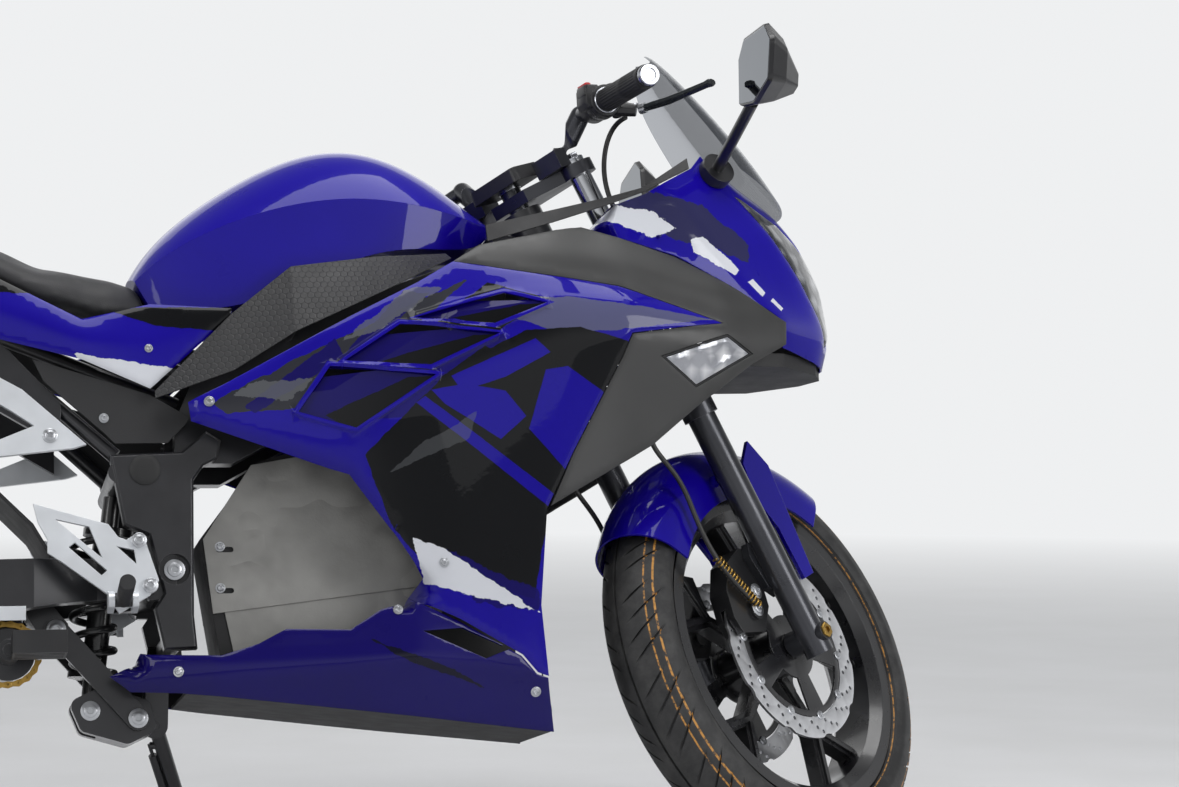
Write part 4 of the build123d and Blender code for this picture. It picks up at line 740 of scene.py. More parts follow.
class Surfaces:
    """Finds where a line across the bike meets a piece of the frame."""

    def __init__(self, nodes: dict[str, bpy.types.Object]) -> None:
        """Keep the frame's pieces.

        Args:
            nodes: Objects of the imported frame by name.
        """
        self.nodes = nodes
        self.trees: dict[tuple[str, bool], BVHTree] = {}

    def tree(self, node: str, steered: bool = False) -> BVHTree:
        """Search tree of a piece, in millimetres on the upright bike."""
        key = (node, steered)
        if key not in self.trees:
            back = STANCE.place(steered).inverted()
            mesh = self.nodes[node].data
            self.trees[key] = BVHTree.FromPolygons([back @ v.co for v in mesh.vertices],
                                                   [tuple(p.vertices) for p in mesh.polygons])
        return self.trees[key]

    def reach(self, node: str, start: Vector, along: Vector, measure: Callable[[Vector], float]) -> float | None:
        """A measure of the first point that a line meets on a piece, or None where it misses."""
        point = self.tree(node).ray_cast(start, along)[0]
        return None if point is None else measure(point)

    def hit(self, node: str, x: float, z: float, side: int = -1, steered: bool = False) -> tuple[Vector, Vector]:
        """First point of a piece seen from one side of the upright bike.

        Args:
            node: Piece of the frame.
            x: Place along the bike, in millimetres.
            z: Height, in millimetres.
            side: -1 for the right side and 1 for the left.
            steered: Whether the piece turns with the bar.

        Returns:
            The point and the outward normal, in millimetres on the upright bike.
        """
        point, normal, _, _ = self.tree(node, steered).ray_cast(Vector((x, side * FAR, z)), Vector((0, -side, 0)))
        if point is None:
            log.warning("%s isn't met at %s, %s", node, x, z)
            return Vector((x, side * MISSED, z)), Vector((0, side, 0))
        return point, (-normal if normal.y * side < 0 else normal)


def walk(points: Sequence[Spot], step: float, closed: bool = True) -> list[Spot]:
    """Points along a line of straight runs, its corners kept.

    Args:
        points: Corners of the line.
        step: Longest distance between two points.
        closed: Whether the line comes back to its start.

    Returns:
        The corners with the points between them.
    """
    result = []
    ends = list(points[1:]) + ([points[0]] if closed else [])
    for start, end in zip(points, ends):
        parts = max(1, math.ceil(math.dist(start, end) / step))
        result.extend((start[0] + (end[0] - start[0]) * part / parts, start[1] + (end[1] - start[1]) * part / parts)
                      for part in range(parts))
    if not closed:
        result.append(tuple(points[-1]))
    return result


def within(spots: np.ndarray, outline: Sequence[Spot]) -> np.ndarray:
    """Which of the spots lie inside a closed outline."""
    inside = np.zeros(len(spots), bool)
    for (ax, ay), (bx, by) in zip(outline, [*outline[1:], outline[0]]):
        if ay == by:
            continue
        crosses = (spots[:, 1] > ay) != (spots[:, 1] > by)
        inside ^= crosses & (spots[:, 0] < ax + (spots[:, 1] - ay) * (bx - ax) / (by - ay))
    return inside


def held(spots: np.ndarray, outline: Sequence[Spot], holes: Sequence[Sequence[Spot]]) -> np.ndarray:
    """Which of the spots lie inside an outline and in none of its holes."""
    return within(spots, outline) & ~np.any([np.zeros(len(spots), bool), *(within(spots, h) for h in holes)], axis=0)


def loops(outlines: Sequence[Sequence[Spot]]) -> tuple[list[Spot], list[tuple[int, int]]]:
    """Spots of some closed outlines in one list, and the runs between them."""
    spots: list[Spot] = []
    runs: list[tuple[int, int]] = []
    for loop in outlines:
        start = len(spots)
        spots.extend(loop)
        runs.extend((start + k, start + (k + 1) % len(loop)) for k in range(len(loop)))
    return spots, runs


def distance_to(spots: np.ndarray, line: Sequence[Spot], closed: bool) -> np.ndarray:
    """Distance of each spot from a line of straight runs."""
    best = np.full(len(spots), 1e9)
    ends = list(line[1:]) + ([line[0]] if closed else [])
    for start, end in zip(line, ends):
        start, run = np.array(start), np.array(end) - np.array(start)
        share = np.clip((spots - start) @ run / max(run @ run, 1e-9), 0, 1)
        best = np.minimum(best, np.linalg.norm(spots - start - share[:, None] * run, axis=1))
    return best


RIM_WIDTH = 9.0
BELL_FLOOR = 1e-5
STEADYING = (1e-12, 1e-6, 1e-6)


@dataclass
class Flank:
    """Evened reach of the frame's panels from the bike's middle plane, over a side view in millimetres."""

    surfaces: Surfaces
    nodes: tuple[str, ...]
    low: Spot
    high: Spot
    step: float = 6.0
    blur: float = 11.0
    skips: Sequence[Sequence[Spot]] = ()

    def __post_init__(self) -> None:
        """Measure the panels on a grid and even them out, without the raised rims of their openings."""
        self.us = np.arange(self.low[0], self.high[0] + self.step, self.step)
        self.vs = np.arange(self.low[1], self.high[1] + self.step, self.step)
        reach = np.full((len(self.us), len(self.vs)), np.nan)
        for i, u in enumerate(self.us):
            for j, v in enumerate(self.vs):
                found = [self.measure(node, u, v) for node in self.nodes]
                found = [r for r in found if r is not None]
                if found:
                    reach[i, j] = max(found)
        spots = np.stack(np.meshgrid(self.us, self.vs, indexing="ij"), axis=-1).reshape(-1, 2)
        for skip in self.skips:
            near = (within(spots, skip) | (distance_to(spots, skip, True) < RIM_WIDTH)).reshape(reach.shape)
            reach[near] = np.nan
        self.reach = self.even(reach)

    def measure(self, node: str, u: float, v: float) -> float | None:
        """Reach of one panel at a spot, or None beside it."""
        return self.surfaces.reach(node, Vector((u, -FAR, v)), Vector((0, 1, 0)), lambda p: -p.y)

    def even(self, reach: np.ndarray) -> np.ndarray:
        """Fit a small sloping plane round each spot of the grid, so that gaps and borders are carried on.

        Args:
            reach: Measured reach, not a number where there is no panel.

        Returns:
            The evened reach, known also a little beyond the panels.
        """
        known = ~np.isnan(reach)
        value = np.where(known, reach, 0.0)
        half = int(4 * self.blur / self.step)
        offsets = np.arange(-half, half + 1) * self.step
        bell = np.exp(-0.5 * (offsets / self.blur) ** 2) + BELL_FLOOR

        def sums(grid: np.ndarray, along: int, across: int) -> np.ndarray:
            """Weighted sums over each spot's surroundings."""
            for axis, power in ((0, along), (1, across)):
                kernel = (bell * offsets ** power)[::-1]
                grid = np.apply_along_axis(lambda row: np.convolve(row, kernel, "same"), axis, grid)
            return grid

        mask = known.astype(float)
        s = {(a, b): sums(mask, a, b) for a, b in ((0, 0), (1, 0), (0, 1), (2, 0), (1, 1), (0, 2))}
        left = np.array([[s[0, 0], s[1, 0], s[0, 1]], [s[1, 0], s[2, 0], s[1, 1]], [s[0, 1], s[1, 1], s[0, 2]]])
        right = np.array([sums(value, 0, 0), sums(value, 1, 0), sums(value, 0, 1)])
        left = np.moveaxis(left, (0, 1), (2, 3)) + np.diag(STEADYING)
        right = np.moveaxis(right, 0, 2)[..., None]
        return np.linalg.solve(left, right)[..., 0, 0]

    def sample(self, spots: np.ndarray) -> np.ndarray:
        """Reach at each spot, between the points of the grid."""
        u = np.clip((spots[:, 0] - self.us[0]) / self.step, 0, len(self.us) - 1.001)
        v = np.clip((spots[:, 1] - self.vs[0]) / self.step, 0, len(self.vs) - 1.001)
        i, j = u.astype(int), v.astype(int)
        a, b = u - i, v - j
        low = self.reach[i, j] * (1 - a) + self.reach[i + 1, j] * a
        high = self.reach[i, j + 1] * (1 - a) + self.reach[i + 1, j + 1] * a
        return low * (1 - b) + high * b

    def outwards(self, u: float) -> Vector:
        """Direction in which the reach is measured."""
        return Vector((0, -1, 0))

    def foot(self, u: float, v: float) -> Vector:
        """Point that the reach is measured from."""
        return Vector((u, 0, v))

    def spots(self, outline: Sequence[Spot], step: float = 6.0, closed: bool = True) -> list[Spot]:
        """A side-view line as spots of this surface."""
        return walk(outline, step, closed)


@dataclass
class Wrap(Flank):
    """Evened reach of the nose from an upright line inside it, over angle and height.

    The angle is counted in millimetres along a circle, from the front round to the right.
    """

    middle_x: float = 430.0
    circle: float = 250.0
    farthest: Spot = (2.0, 1.2)
    halvings: int = 24

    def outwards(self, u: float) -> Vector:
        """Direction in which the reach is measured."""
        turn = u / self.circle
        return Vector((math.cos(turn), -math.sin(turn), 0))

    def foot(self, u: float, v: float) -> Vector:
        """Point that the reach is measured from."""
        return Vector((self.middle_x, 0, v))

    def measure(self, node: str, u: float, v: float) -> float | None:
        """Reach of one panel at a spot, or None beside it."""
        out, foot = self.outwards(u), self.foot(u, v)
        return self.surfaces.reach(node, foot + out * FAR, -out, lambda p: (p - foot).dot(out))

    def solve(self, v: float, value: float, part: int) -> float:
        """Angle at which the nose passes a length (part 0) or a half width (part 1), at a height."""
        low, high = 0.0, self.farthest[part] * self.circle
        for _ in range(self.halvings):
            middle = (low + high) / 2
            point = self.foot(middle, v) + self.outwards(middle) * float(self.sample(np.array([(middle, v)]))[0])
            beyond = point.x < value if part == 0 else -point.y > value
            low, high = (low, middle) if beyond else (middle, high)
        return low

    def spots(self, outline: Sequence[Spot], step: float = 6.0, closed: bool = True) -> list[Spot]:
        """A side-view line as spots of this surface."""
        return [(self.solve(z, x, 0), z) for x, z in walk(outline, step, closed)]

    def front_spots(self, outline: Sequence[Spot], step: float = 6.0) -> list[Spot]:
        """A closed front-view outline, half width and height, as spots of this surface."""
        return [(self.solve(z, y, 1), z) for y, z in walk(outline, step)]


GUIDE_STEP = 5.0


@dataclass
class Ridge:
    """A raised or sunk line on a panel, flat on top and sloping beside."""

    line: Sequence[Spot]
    crest: float
    ramp: float
    rise: float
    closed: bool = False

    def lift(self, spots: np.ndarray) -> np.ndarray:
        """Height that the line adds at each spot."""
        away = distance_to(spots, self.line, self.closed)
        share = np.clip(1 - (away - self.crest) / self.ramp, 0, 1)
        return self.rise * share * share * (3 - 2 * share)

    def guides(self) -> list[Spot]:
        """Spots beside the line, where the mesh needs points."""
        result = []
        points = walk(self.line, GUIDE_STEP, self.closed)
        for place, spot in enumerate(points):
            before, after = points[place - 1], points[(place + 1) % len(points)]
            if not self.closed and place in (0, len(points) - 1):
                continue
            run = Vector(after) - Vector(before)
            side = Vector((-run.y, run.x)).normalized()
            for away in {0.0, self.crest, self.crest + self.ramp * 0.5, self.crest + self.ramp}:
                result.extend(tuple(Vector(spot) + side * away * sign) for sign in (-1, 1))
        return result


ROW_SHARE = 0.866
MERGE_GAP = 0.05
GUIDE_GAP = 2.5
BORDER_GAP = 2.6


@dataclass
class Panel:
    """A thin moulded panel cut from an evened surface, with rounded rims and raised lines."""

    name: str
    replaced: tuple[str, ...]
    surface: Flank
    outline: Sequence[Spot]
    finish: Finish
    slot: str
    holes: Sequence[Sequence[Spot]] = ()
    ridges: Sequence[Ridge] = ()
    inner: Finish | None = None
    wall: float = 3.0
    sink: float = 0.0
    step: float = 8.0
    bevel: float = 0.8
    mirrored: bool = True

    def spots(self) -> tuple[np.ndarray, list[tuple[int, int]]]:
        """Spots of the mesh, and the runs between them that its borders follow."""
        spots, runs = loops((self.outline, *self.holes))
        border = np.array(spots)
        low, high = border.min(axis=0), border.max(axis=0)
        us, vs = np.arange(low[0], high[0], self.step), np.arange(low[1], high[1], self.step * ROW_SHARE)
        grid = [(u + (self.step / 2 if row % 2 else 0), v) for row, v in enumerate(vs) for u in us]
        guides = [spot for ridge in self.ridges for spot in ridge.guides()]
        if guides:
            kept = np.array(grid)
            near = np.min([distance_to(kept, r.line, r.closed) - r.crest - r.ramp for r in self.ridges], axis=0)
            grid = [spot for spot, away in zip(grid, near) if away > GUIDE_GAP]
        loose = np.array(grid + guides)
        loose = loose[self.holds(loose)]
        for loop in (self.outline, *self.holes):
            loose = loose[distance_to(loose, loop, True) > BORDER_GAP]
        return np.concatenate([border, loose]), runs

    def holds(self, spots: np.ndarray) -> np.ndarray:
        """Which spots lie on the panel."""
        return held(spots, self.outline, self.holes)

    def mesh(self) -> Mesh:
        """Shell of the panel's right side, or of the whole panel where it wraps the nose.

        Returns:
            Its outer and inner faces and the rim between them.
        """
        spots, runs = self.spots()
        cut = delaunay_2d_cdt([Vector(s) for s in spots], runs, [], 0, MERGE_GAP)
        flat, triangles = np.array([tuple(v) for v in cut[0]]), np.array(cut[2])
        triangles = triangles[self.holds(flat[triangles].mean(axis=1))]
        used, triangles = np.unique(triangles, return_inverse=True)
        flat, triangles = flat[used], triangles.reshape(-1, 3)
        reach = self.surface.sample(flat) - self.sink + sum(ridge.lift(flat) for ridge in self.ridges)
        out = np.array([tuple(self.surface.outwards(u)) for u in flat[:, 0]])
        outer = np.array([tuple(self.surface.foot(u, v)) for u, v in flat]) + out * reach[:, None]
        normals = np.zeros_like(outer)
        face_normals = np.cross(outer[triangles[:, 1]] - outer[triangles[:, 0]],
                                outer[triangles[:, 2]] - outer[triangles[:, 0]])
        for corner in range(3):
            np.add.at(normals, triangles[:, corner], face_normals)
        normals *= np.sign(np.sum(normals * out, axis=1))[:, None]
        normals /= np.linalg.norm(normals, axis=1)[:, None]
        inner = outer - normals * self.wall
        mesh = Mesh([Vector(p) for p in np.concatenate([outer, inner])], [tuple(map(int, t)) for t in triangles])
        count = len(outer)
        edges: dict[tuple[int, int], tuple[int, int]] = {}
        for a, b, c in mesh.faces:
            for start, end in ((a, b), (b, c), (c, a)):
                key = (min(start, end), max(start, end))
                edges[key] = None if key in edges else (start, end)
        first = len(mesh.faces)
        mesh.faces += [(int(c) + count, int(b) + count, int(a) + count) for a, b, c in triangles]
        mesh.inner_faces = set(range(first, len(mesh.faces)))
        mesh.faces += [(e[1], e[0], e[0] + count, e[1] + count) for e in edges.values() if e]
        return mesh

    def build(self) -> bpy.types.Object:
        """Make the panel and let it stand for the frame's own.

        Returns:
            The panel.
        """
        mesh = self.mesh()
        if self.mirrored:
            mesh.join(mesh.mirrored())
        piece = mesh.piece(self.name, "chassis", self.finish, self.slot, bevel=self.bevel, inner=self.inner)
        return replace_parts(piece, *self.replaced)


@dataclass
class Tyre:
    """A road tyre with a centre groove and slanted grooves cut into its crown."""

    name: str
    node: str
    body: str
    axle: Point
    radius: float
    crown: float
    bead_half: float
    steered: bool
    bead_radius: float = 216.0
    pitches: int = 14
    depth: float = 3.2
    taper: float = 9
    least_cut: float = 0.25
    slant: tuple[float, float, float] = (4e-9, 3.2, 0.00042)
    bead_shift: float = 0.038

    def section(self) -> list[tuple[float, float]]:
        """Angles over the crown, from one shoulder to the other, and whether each lies in the centre groove."""
        half = [84, 79, 74, 68, 62, 56, 50, 44, 38, 32, 26, 20, 14, 9, 5, 2.6, 2.2]
        return [(-a, 0.0) for a in half] + [(-1.4, 1.0), (1.4, 1.0)] + [(a, 0.0) for a in reversed(half)]

    def columns(self) -> list[tuple[float, float, float, float]]:
        """Columns round the tyre: share of a turn, groove depth, and the crown angles that the groove spans."""
        rows = []
        grooves = [(0.04, 16, 66), (0.25, 12, 60), (0.46, 20, 70), (0.70, 10, 48)]
        half, edge, land = 0.0009, 0.0003, 0.105 / self.pitches
        for pitch in range(self.pitches):
            for share, low, high in grooves:
                middle = (pitch + share) / self.pitches
                rows += [(middle - half, self.depth, low, high), (middle + half, self.depth, low, high)]
                rows += [(spot, 0.0, 0, 0) for spot in (middle - half - edge, middle + half + edge, middle + land)]
        return sorted(rows)

    def build(self) -> bpy.types.Object:
        """Make the tyre and let it stand for the plain solid.

        Returns:
            The tyre.
        """
        axle = Vector(self.axle)
        way = 1.0 if self.steered else -1.0
        curve, power, straight = self.slant
        rings = []
        for turn, depth, low, high in self.columns():
            ring = []
            for angle, centre in self.section():
                slant = (curve * abs(angle) ** power + straight * abs(angle)) * way
                cut = 0.0
                if depth and low <= abs(angle) <= high:
                    taper = min((abs(angle) - low) / self.taper, (high - abs(angle)) / self.taper, 1.0)
                    cut = depth * max(self.least_cut, taper)
                if centre:
                    cut = max(cut, self.depth)
                out = self.crown - cut
                ring.append((turn + slant, out * math.sin(math.radians(angle)),
                             self.radius - self.crown + out * math.cos(math.radians(angle))))
            ring += [(turn + self.bead_shift * way, y, distance) for y, distance in self.bead()]
            rings.append([axle + Vector((math.sin(math.tau * about) * distance, y,
                                         math.cos(math.tau * about) * distance)) for about, y, distance in ring])
        mesh = Mesh()
        mesh.rings(rings, around=True)
        place = STANCE.place(self.steered)
        middle = place @ axle
        side = (place.to_3x3() @ Vector((0, 1, 0))).normalized()
        stripes = tuple(spot * MM for spot in (-38, -46)) if self.steered else ()
        finish = TyreFinish(f"{self.name}_rubber", srgb(27, 27, 28), rough=0.58, grain=Grain.RUBBER, size=0.0012,
                            depth=0.00006, mottle=0.15, round_edge=0.0, middle=tuple(middle), axis=tuple(side),
                            stripe_spots=stripes)
        piece = mesh.piece(self.name, self.body, finish, "tyre_rubber", self.steered)
        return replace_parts(piece, self.node)

    def bead(self) -> list[Spot]:
        """Corners of the wall and bead, from the right shoulder round to the left."""
        wall = self.crown * math.sin(math.radians(84))
        return [
            (wall - 3, self.bead_radius + 21), (wall - 4.5, self.bead_radius + 17),
            (self.bead_half, self.bead_radius + 11), (self.bead_half - 2, self.bead_radius + 0.3),
            (2 - self.bead_half, self.bead_radius + 0.3),
            (-self.bead_half, self.bead_radius + 11), (4.5 - wall, self.bead_radius + 17),
            (3 - wall, self.bead_radius + 21),
        ]


@dataclass
class Seat:
    """A foam seat under a stretched cover."""

    name: str
    node: str
    sections: tuple[tuple[float, float, float, float], ...]
    front_cut: tuple[Spot, Spot] | None = None
    rows: int = 46
    inset: float = 3.0
    swell: float = 3.0
    rounding: float = 16.0
    skirt: float = 9
    arc_steps: int = 24
    powers: Spot = (0.62, 0.72)
    voxel: float = 0.0055
    pressure: float = 4.0
    last_frame: int = 14

    def at(self, x: float) -> tuple[float, float, float]:
        """Half width, underside and crown at a place along the seat, smoothly between its sections."""
        rows = sorted(self.sections)
        if x <= rows[0][0]:
            return rows[0][1:]
        for low, high in zip(rows, rows[1:]):
            if x <= high[0]:
                share = (x - low[0]) / (high[0] - low[0])
                share = share * share * (3 - 2 * share) * 0.35 + share * 0.65
                return tuple(a + (b - a) * share for a, b in zip(low[1:], high[1:]))
        return rows[-1][1:]

    def ring(self, x: float, shrink: float) -> list[Vector]:
        """Corners of one crosswise section."""
        half, under, top = self.at(x)
        half, under, top = half - self.inset - shrink, under + 1 + shrink * 0.4, top - self.inset - shrink * 0.7
        side_power, top_power = self.powers
        corners = []
        for step in range(self.arc_steps + 1):
            turn = math.pi * step / self.arc_steps
            reach = math.copysign(abs(math.cos(turn)) ** side_power, math.cos(turn))
            rise = math.sin(turn) ** top_power
            corners.append(Vector((x, half * reach, under + self.skirt + (top - under - self.skirt) * rise)))
        corners.extend(Vector((x, half * share, under)) for share in (-0.93, -0.5, 0.0, 0.5, 0.93))
        return corners

    def build(self) -> bpy.types.Object:
        """Make the seat and swell it.

        Returns:
            The cushion.
        """
        xs = [section[0] for section in self.sections]
        low, high = min(xs) + 2.0, max(xs) - 2.0
        mesh = Mesh()
        rings = []
        for row in range(self.rows + 1):
            share = row / self.rows
            x = low + (high - low) * share
            near = min(share, 1 - share) * (high - low)
            off = 1 - min(near, self.rounding) / self.rounding
            rings.append(self.ring(x, self.rounding * (1 - math.sqrt(max(0.0, 1 - off ** 2)))))
        mesh.rings(rings)
        if self.front_cut:
            (top_x, top_z), (low_x, low_z) = self.front_cut
            lean = (top_x - low_x) / (top_z - low_z)
            for point in mesh.points:
                point.x = min(point.x, low_x + (point.z - low_z) * lean - 2.5)
        piece = mesh.piece(self.name, "chassis", COVER, "seat_cover")
        self.puff(piece)
        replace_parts(piece, self.node)
        return piece

    def puff(self, piece: bpy.types.Object) -> None:
        """Swell the cushion with a short cloth simulation, and cap how far its cover moves.

        Args:
            piece: The cushion, changed in place.
        """
        remesh = piece.modifiers.new("even", "REMESH")
        remesh.mode = "VOXEL"
        remesh.voxel_size = self.voxel
        self.bake(piece)
        rest = [v.co.copy() for v in piece.data.vertices]
        cloth = piece.modifiers.new("cover", "CLOTH")
        cloth.settings.use_pressure = True
        cloth.settings.uniform_pressure_force = self.pressure
        cloth.settings.effector_weights.gravity = 0.0
        cloth.collision_settings.use_collision = False
        for frame in range(1, self.last_frame + 1):
            bpy.context.scene.frame_set(frame)
        self.bake(piece)
        bpy.context.scene.frame_set(1)
        for vertex, start in zip(piece.data.vertices, rest):
            move = vertex.co - start
            if move.length > self.swell * MM:
                vertex.co = start + move.normalized() * self.swell * MM
        smooth = piece.modifiers.new("settle", "SMOOTH")
        smooth.iterations = 6
        smooth.factor = 0.5
        self.bake(piece)
        piece.data.shade_smooth()

    def bake(self, piece: bpy.types.Object) -> None:
        """Put the result of the piece's modifiers into its mesh."""
        bpy.context.view_layer.update()
        graph = bpy.context.evaluated_depsgraph_get()
        result = bpy.data.meshes.new_from_object(piece.evaluated_get(graph))
        finish = piece.data.materials[0]
        piece.modifiers.clear()
        piece.data = result
        if not piece.data.materials:
            piece.data.materials.append(finish)


@dataclass
class Disc:
    """Brake disc: a drilled steel ring with a waved rim, on a black carrier held by bright buttons."""

    name: str
    node: str
    body: str
    middle: Spot
    faces: tuple[float, ...]
    radius: float
    steered: bool
    ring: float = 30.0
    wall: float = 4.0
    arms: int = 5
    arm_half: float = 11
    bore: float = 18
    hub: float = 46
    hole: float = 2.7
    drilled: tuple[Spot, ...] = ((-13, 7), (-8, 15), (-3, 22), (4, 8), (9, 16), (14, 22))

    def circle(self, spot: Spot, radius: float, steps: int) -> list[Spot]:
        """Round outline about a spot."""
        turns = (math.tau * step / steps for step in range(steps))
        return [(spot[0] + radius * math.cos(turn), spot[1] + radius * math.sin(turn)) for turn in turns]

    def at(self, degrees: float, reach: float) -> Spot:
        """Spot of the disc's face at an angle and a distance from the middle."""
        turn = math.radians(degrees)
        return (self.middle[0] + reach * math.cos(turn), self.middle[1] + reach * math.sin(turn))

    def rim(self, wave: float = 16.0, depth: float = 3.5) -> list[Spot]:
        """Outer outline, with a shallow wave at each tenth of a turn."""
        spots = []
        for step in range(240):
            angle = step * 1.5
            off = math.radians(angle % 36 - 18)
            centre = self.radius + wave - depth
            reach = self.radius
            if abs(centre * math.sin(off)) < wave:
                reach = min(reach, centre * math.cos(off) - math.sqrt(wave ** 2 - (centre * math.sin(off)) ** 2))
            spots.append(self.at(angle + 18, reach))
        return spots

    def cut(self, outline: Sequence[Spot], holes: Sequence[Sequence[Spot]], face: float, wall: float) -> Mesh:
        """Flat sheet across the bike, cut to an outline with holes.

        Args:
            outline: Outer outline in length and height.
            holes: Outlines of the holes.
            face: Place of the sheet's middle across the bike.
            wall: Its thickness.

        Returns:
            The sheet.
        """
        spots, runs = loops((outline, *holes))
        result = delaunay_2d_cdt([Vector(spot) for spot in spots], runs, [], 0, 0.001)
        flat = np.array([tuple(v) for v in result[0]])
        solid = held(flat[np.array(result[2])].mean(axis=1), outline, holes)
        count = len(flat)
        mesh = Mesh([Vector((x, face + side * wall / 2, z)) for side in (-1, 1) for x, z in flat])
        for triangle, kept in zip(result[2], solid):
            if kept:
                mesh.faces += [tuple(triangle), tuple(count + corner for corner in reversed(triangle))]
        mesh.faces += [(a, b, b + count, a + count) for a, b in runs]
        return mesh

    def build(self) -> None:
        """Make the rings and the carriers."""
        rings, carriers, buttons = Mesh(), Mesh(), Mesh()
        inner = self.radius - self.ring
        drilled = [self.circle(self.at(36 * k + angle, inner + reach), self.hole, 12) for k in range(10)
                   for angle, reach in self.drilled]
        step = 360 / self.arms
        windows = []
        for k in range(self.arms):
            low, high = k * step + self.arm_half, (k + 1) * step - self.arm_half
            outer = [self.at(low + (high - low) * p / 8, inner - 10) for p in range(9)]
            near = [self.at(high - 5 - (high - low - 10) * p / 6, self.hub) for p in range(7)]
            windows.append([*outer, *near])
        for face in self.faces:
            rings.join(self.cut(self.rim(), [self.circle(self.middle, inner, 120), *drilled], face, self.wall))
            carriers.join(self.cut(self.circle(self.middle, inner - 1.5, 120),
                                   [self.circle(self.middle, self.bore, 48), *windows], face, self.wall * 0.9))
            for k in range(self.arms * 2):
                x, z = self.at(36 * k, inner - 0.5)
                for side in (-1, 1):
                    buttons.lathe(Vector((x, face + side * self.wall * 0.3, z)), Vector((0, side, 0)),
                                  [(0, 6.5), (2.0, 6.5), (2.6, 5.6), (2.6, 2.5), (1.8, 2.3)], 20)
        ring = rings.piece(self.name + "_rings", self.body, DISC, "disc_steel", self.steered, bevel=0.3)
        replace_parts(ring, self.node)
        carriers.piece(self.name + "_carriers", self.body, RIM, "rim_black", self.steered, bevel=0.4)
        buttons.piece(self.name + "_buttons", self.body, ZINC, "disc_steel", self.steered)


Row = tuple[str, float, float, float]


@dataclass
class Screws:
    """Fasteners and plugs set where a line across the bike meets a piece of the frame."""

    surfaces: Surfaces
    panel: tuple[Row, ...] = (
        ("side_fairings", -112, 612, 4.6), ("side_fairings", 188, 403, 4.2), ("belly_panels", -150, 272, 4.6),
        ("belly_panels", 312, 238, 4.6), ("belly_panels", 128, 344, 4.2), ("under_covers", -242, 600, 4.2),
        ("side_covers", -185, 690, 3.6),
    )
    chassis: tuple[Row, ...] = (
        ("peg_brackets", -200, 438, 6.5), ("peg_brackets", -186, 380, 6.5), ("main_frame", -153, 404, 9.0),
        ("shock_linkage", -300, 336, 8.5), ("shock_linkage", -196, 220, 8.5), ("shock_linkage", -256, 232, 8.5),
        ("pillion_brackets", -310, 577, 6.5), ("battery_covers", -93, 436, 4.4), ("battery_covers", -93, 382, 4.4),
    )
    caliper: tuple[Row, ...] = (("front_calipers", 598, 356, 7.5), ("front_calipers", 593, 330, 7.5))
    plugs: tuple[Row, ...] = (("main_frame", -190, 533, 20.0),)
    sunk: float = 0.6
    washer: tuple[Spot, ...] = ((0, 1.5), (1.4, 1.5), (1.8, 1.4))
    head: tuple[Spot, ...] = ((1.2, 1), (3.4, 1), (4.4, 0.72), (4.4, 0.5), (2.4, 0.46))
    dome: tuple[Spot, ...] = ((0, 1), (2.2, 1), (3.6, 0.9), (4.6, 0.6), (4.9, 0.2))

    def fasten(self, rows: Sequence[Row], parts: Sequence[tuple[Sequence[Spot], int]], steered: bool = False) -> Mesh:
        """Turned fasteners on both sides of the bike.

        Args:
            rows: Piece, place and radius of each fastener.
            parts: Profile of each of its parts, in millimetres along and in radii, and the facets round it.
            steered: Whether they turn with the bar.

        Returns:
            All the fasteners.
        """
        mesh = Mesh()
        for node, x, z, radius in rows:
            for side in (-1, 1):
                point, normal = self.surfaces.hit(node, x, z, side, steered)
                for profile, steps in parts:
                    mesh.lathe(point - normal * self.sunk, normal, [(a, radius * b) for a, b in profile], steps)
        return mesh

    def build(self) -> None:
        """Make the fasteners, one piece for each finish and body."""
        screw = ((self.washer, 28), (self.head, 24))
        self.fasten(self.panel, screw).piece("panel_screws", "chassis", ZINC, "bracket_silver")
        self.fasten(self.chassis, screw).piece("chassis_bolts", "chassis", ZINC, "bracket_silver")
        self.fasten(self.caliper, screw, True).piece("caliper_caps", "steering", ZINC, "bracket_silver", True)
        self.fasten(self.plugs, ((self.dome, 36),)).piece("frame_plugs", "chassis", RUBBER, "trim_black")
        plate = Mesh()
        point, _ = self.surfaces.hit("swingarm", -388, 350)
        plate.plate(Vector((-388, point.y + 0.3, 350)), Vector((1, 0, 0)), Vector((0, 0, 1)),
                    [(-48, -9), (48, -9), (48, 9), (-48, 9)], 1.4)
        plate.piece("blank_plate", "chassis", BRACKET, "bracket_silver")
        caps, up, stem = Mesh(), STANCE.leg_direction(), STANCE.on_stem(742)
        for side in (-1, 1):
            top = STANCE.on_leg(736, side * 92)
            caps.lathe(top, up, [(-1, 15.6), (2, 15.6), (3, 14.6), (3, 12)], 36)
            caps.lathe(top, up, [(2.6, 10.5), (9, 10.5), (10, 9.6), (10, 3)], 6)
        caps.lathe(stem, up, [(-2, 17), (2, 17), (3, 16), (3, 14.5)], 36)
        caps.lathe(stem, up, [(2.6, 14.5), (10, 14.5), (11, 13.4), (11, 7), (6, 6.6)], 6)
        caps.piece("fork_caps", "steering", CHROME, "bracket_silver", True)
        brass = Mesh()
        brass.lathe(Vector((675, -115, 293)), Vector((0, -1, 0)),
                    [(0, 11), (5, 11), (6.2, 9.6), (6.2, 5.0), (2, 4.4)], 6)
        brass.coil(Vector((591, -76.5, 333)), Vector((520, -76.5, 392)), 5.6, 1.3, 16)
        brass.piece("axle_end", "steering", BRASS, "chain_brass", True)


BAR = STANCE.on_leg(712)
GRIP_INNER = BAR + Vector((-50, -200, 49))
GRIP_OUTER = BAR + Vector((-113, -325, 0))


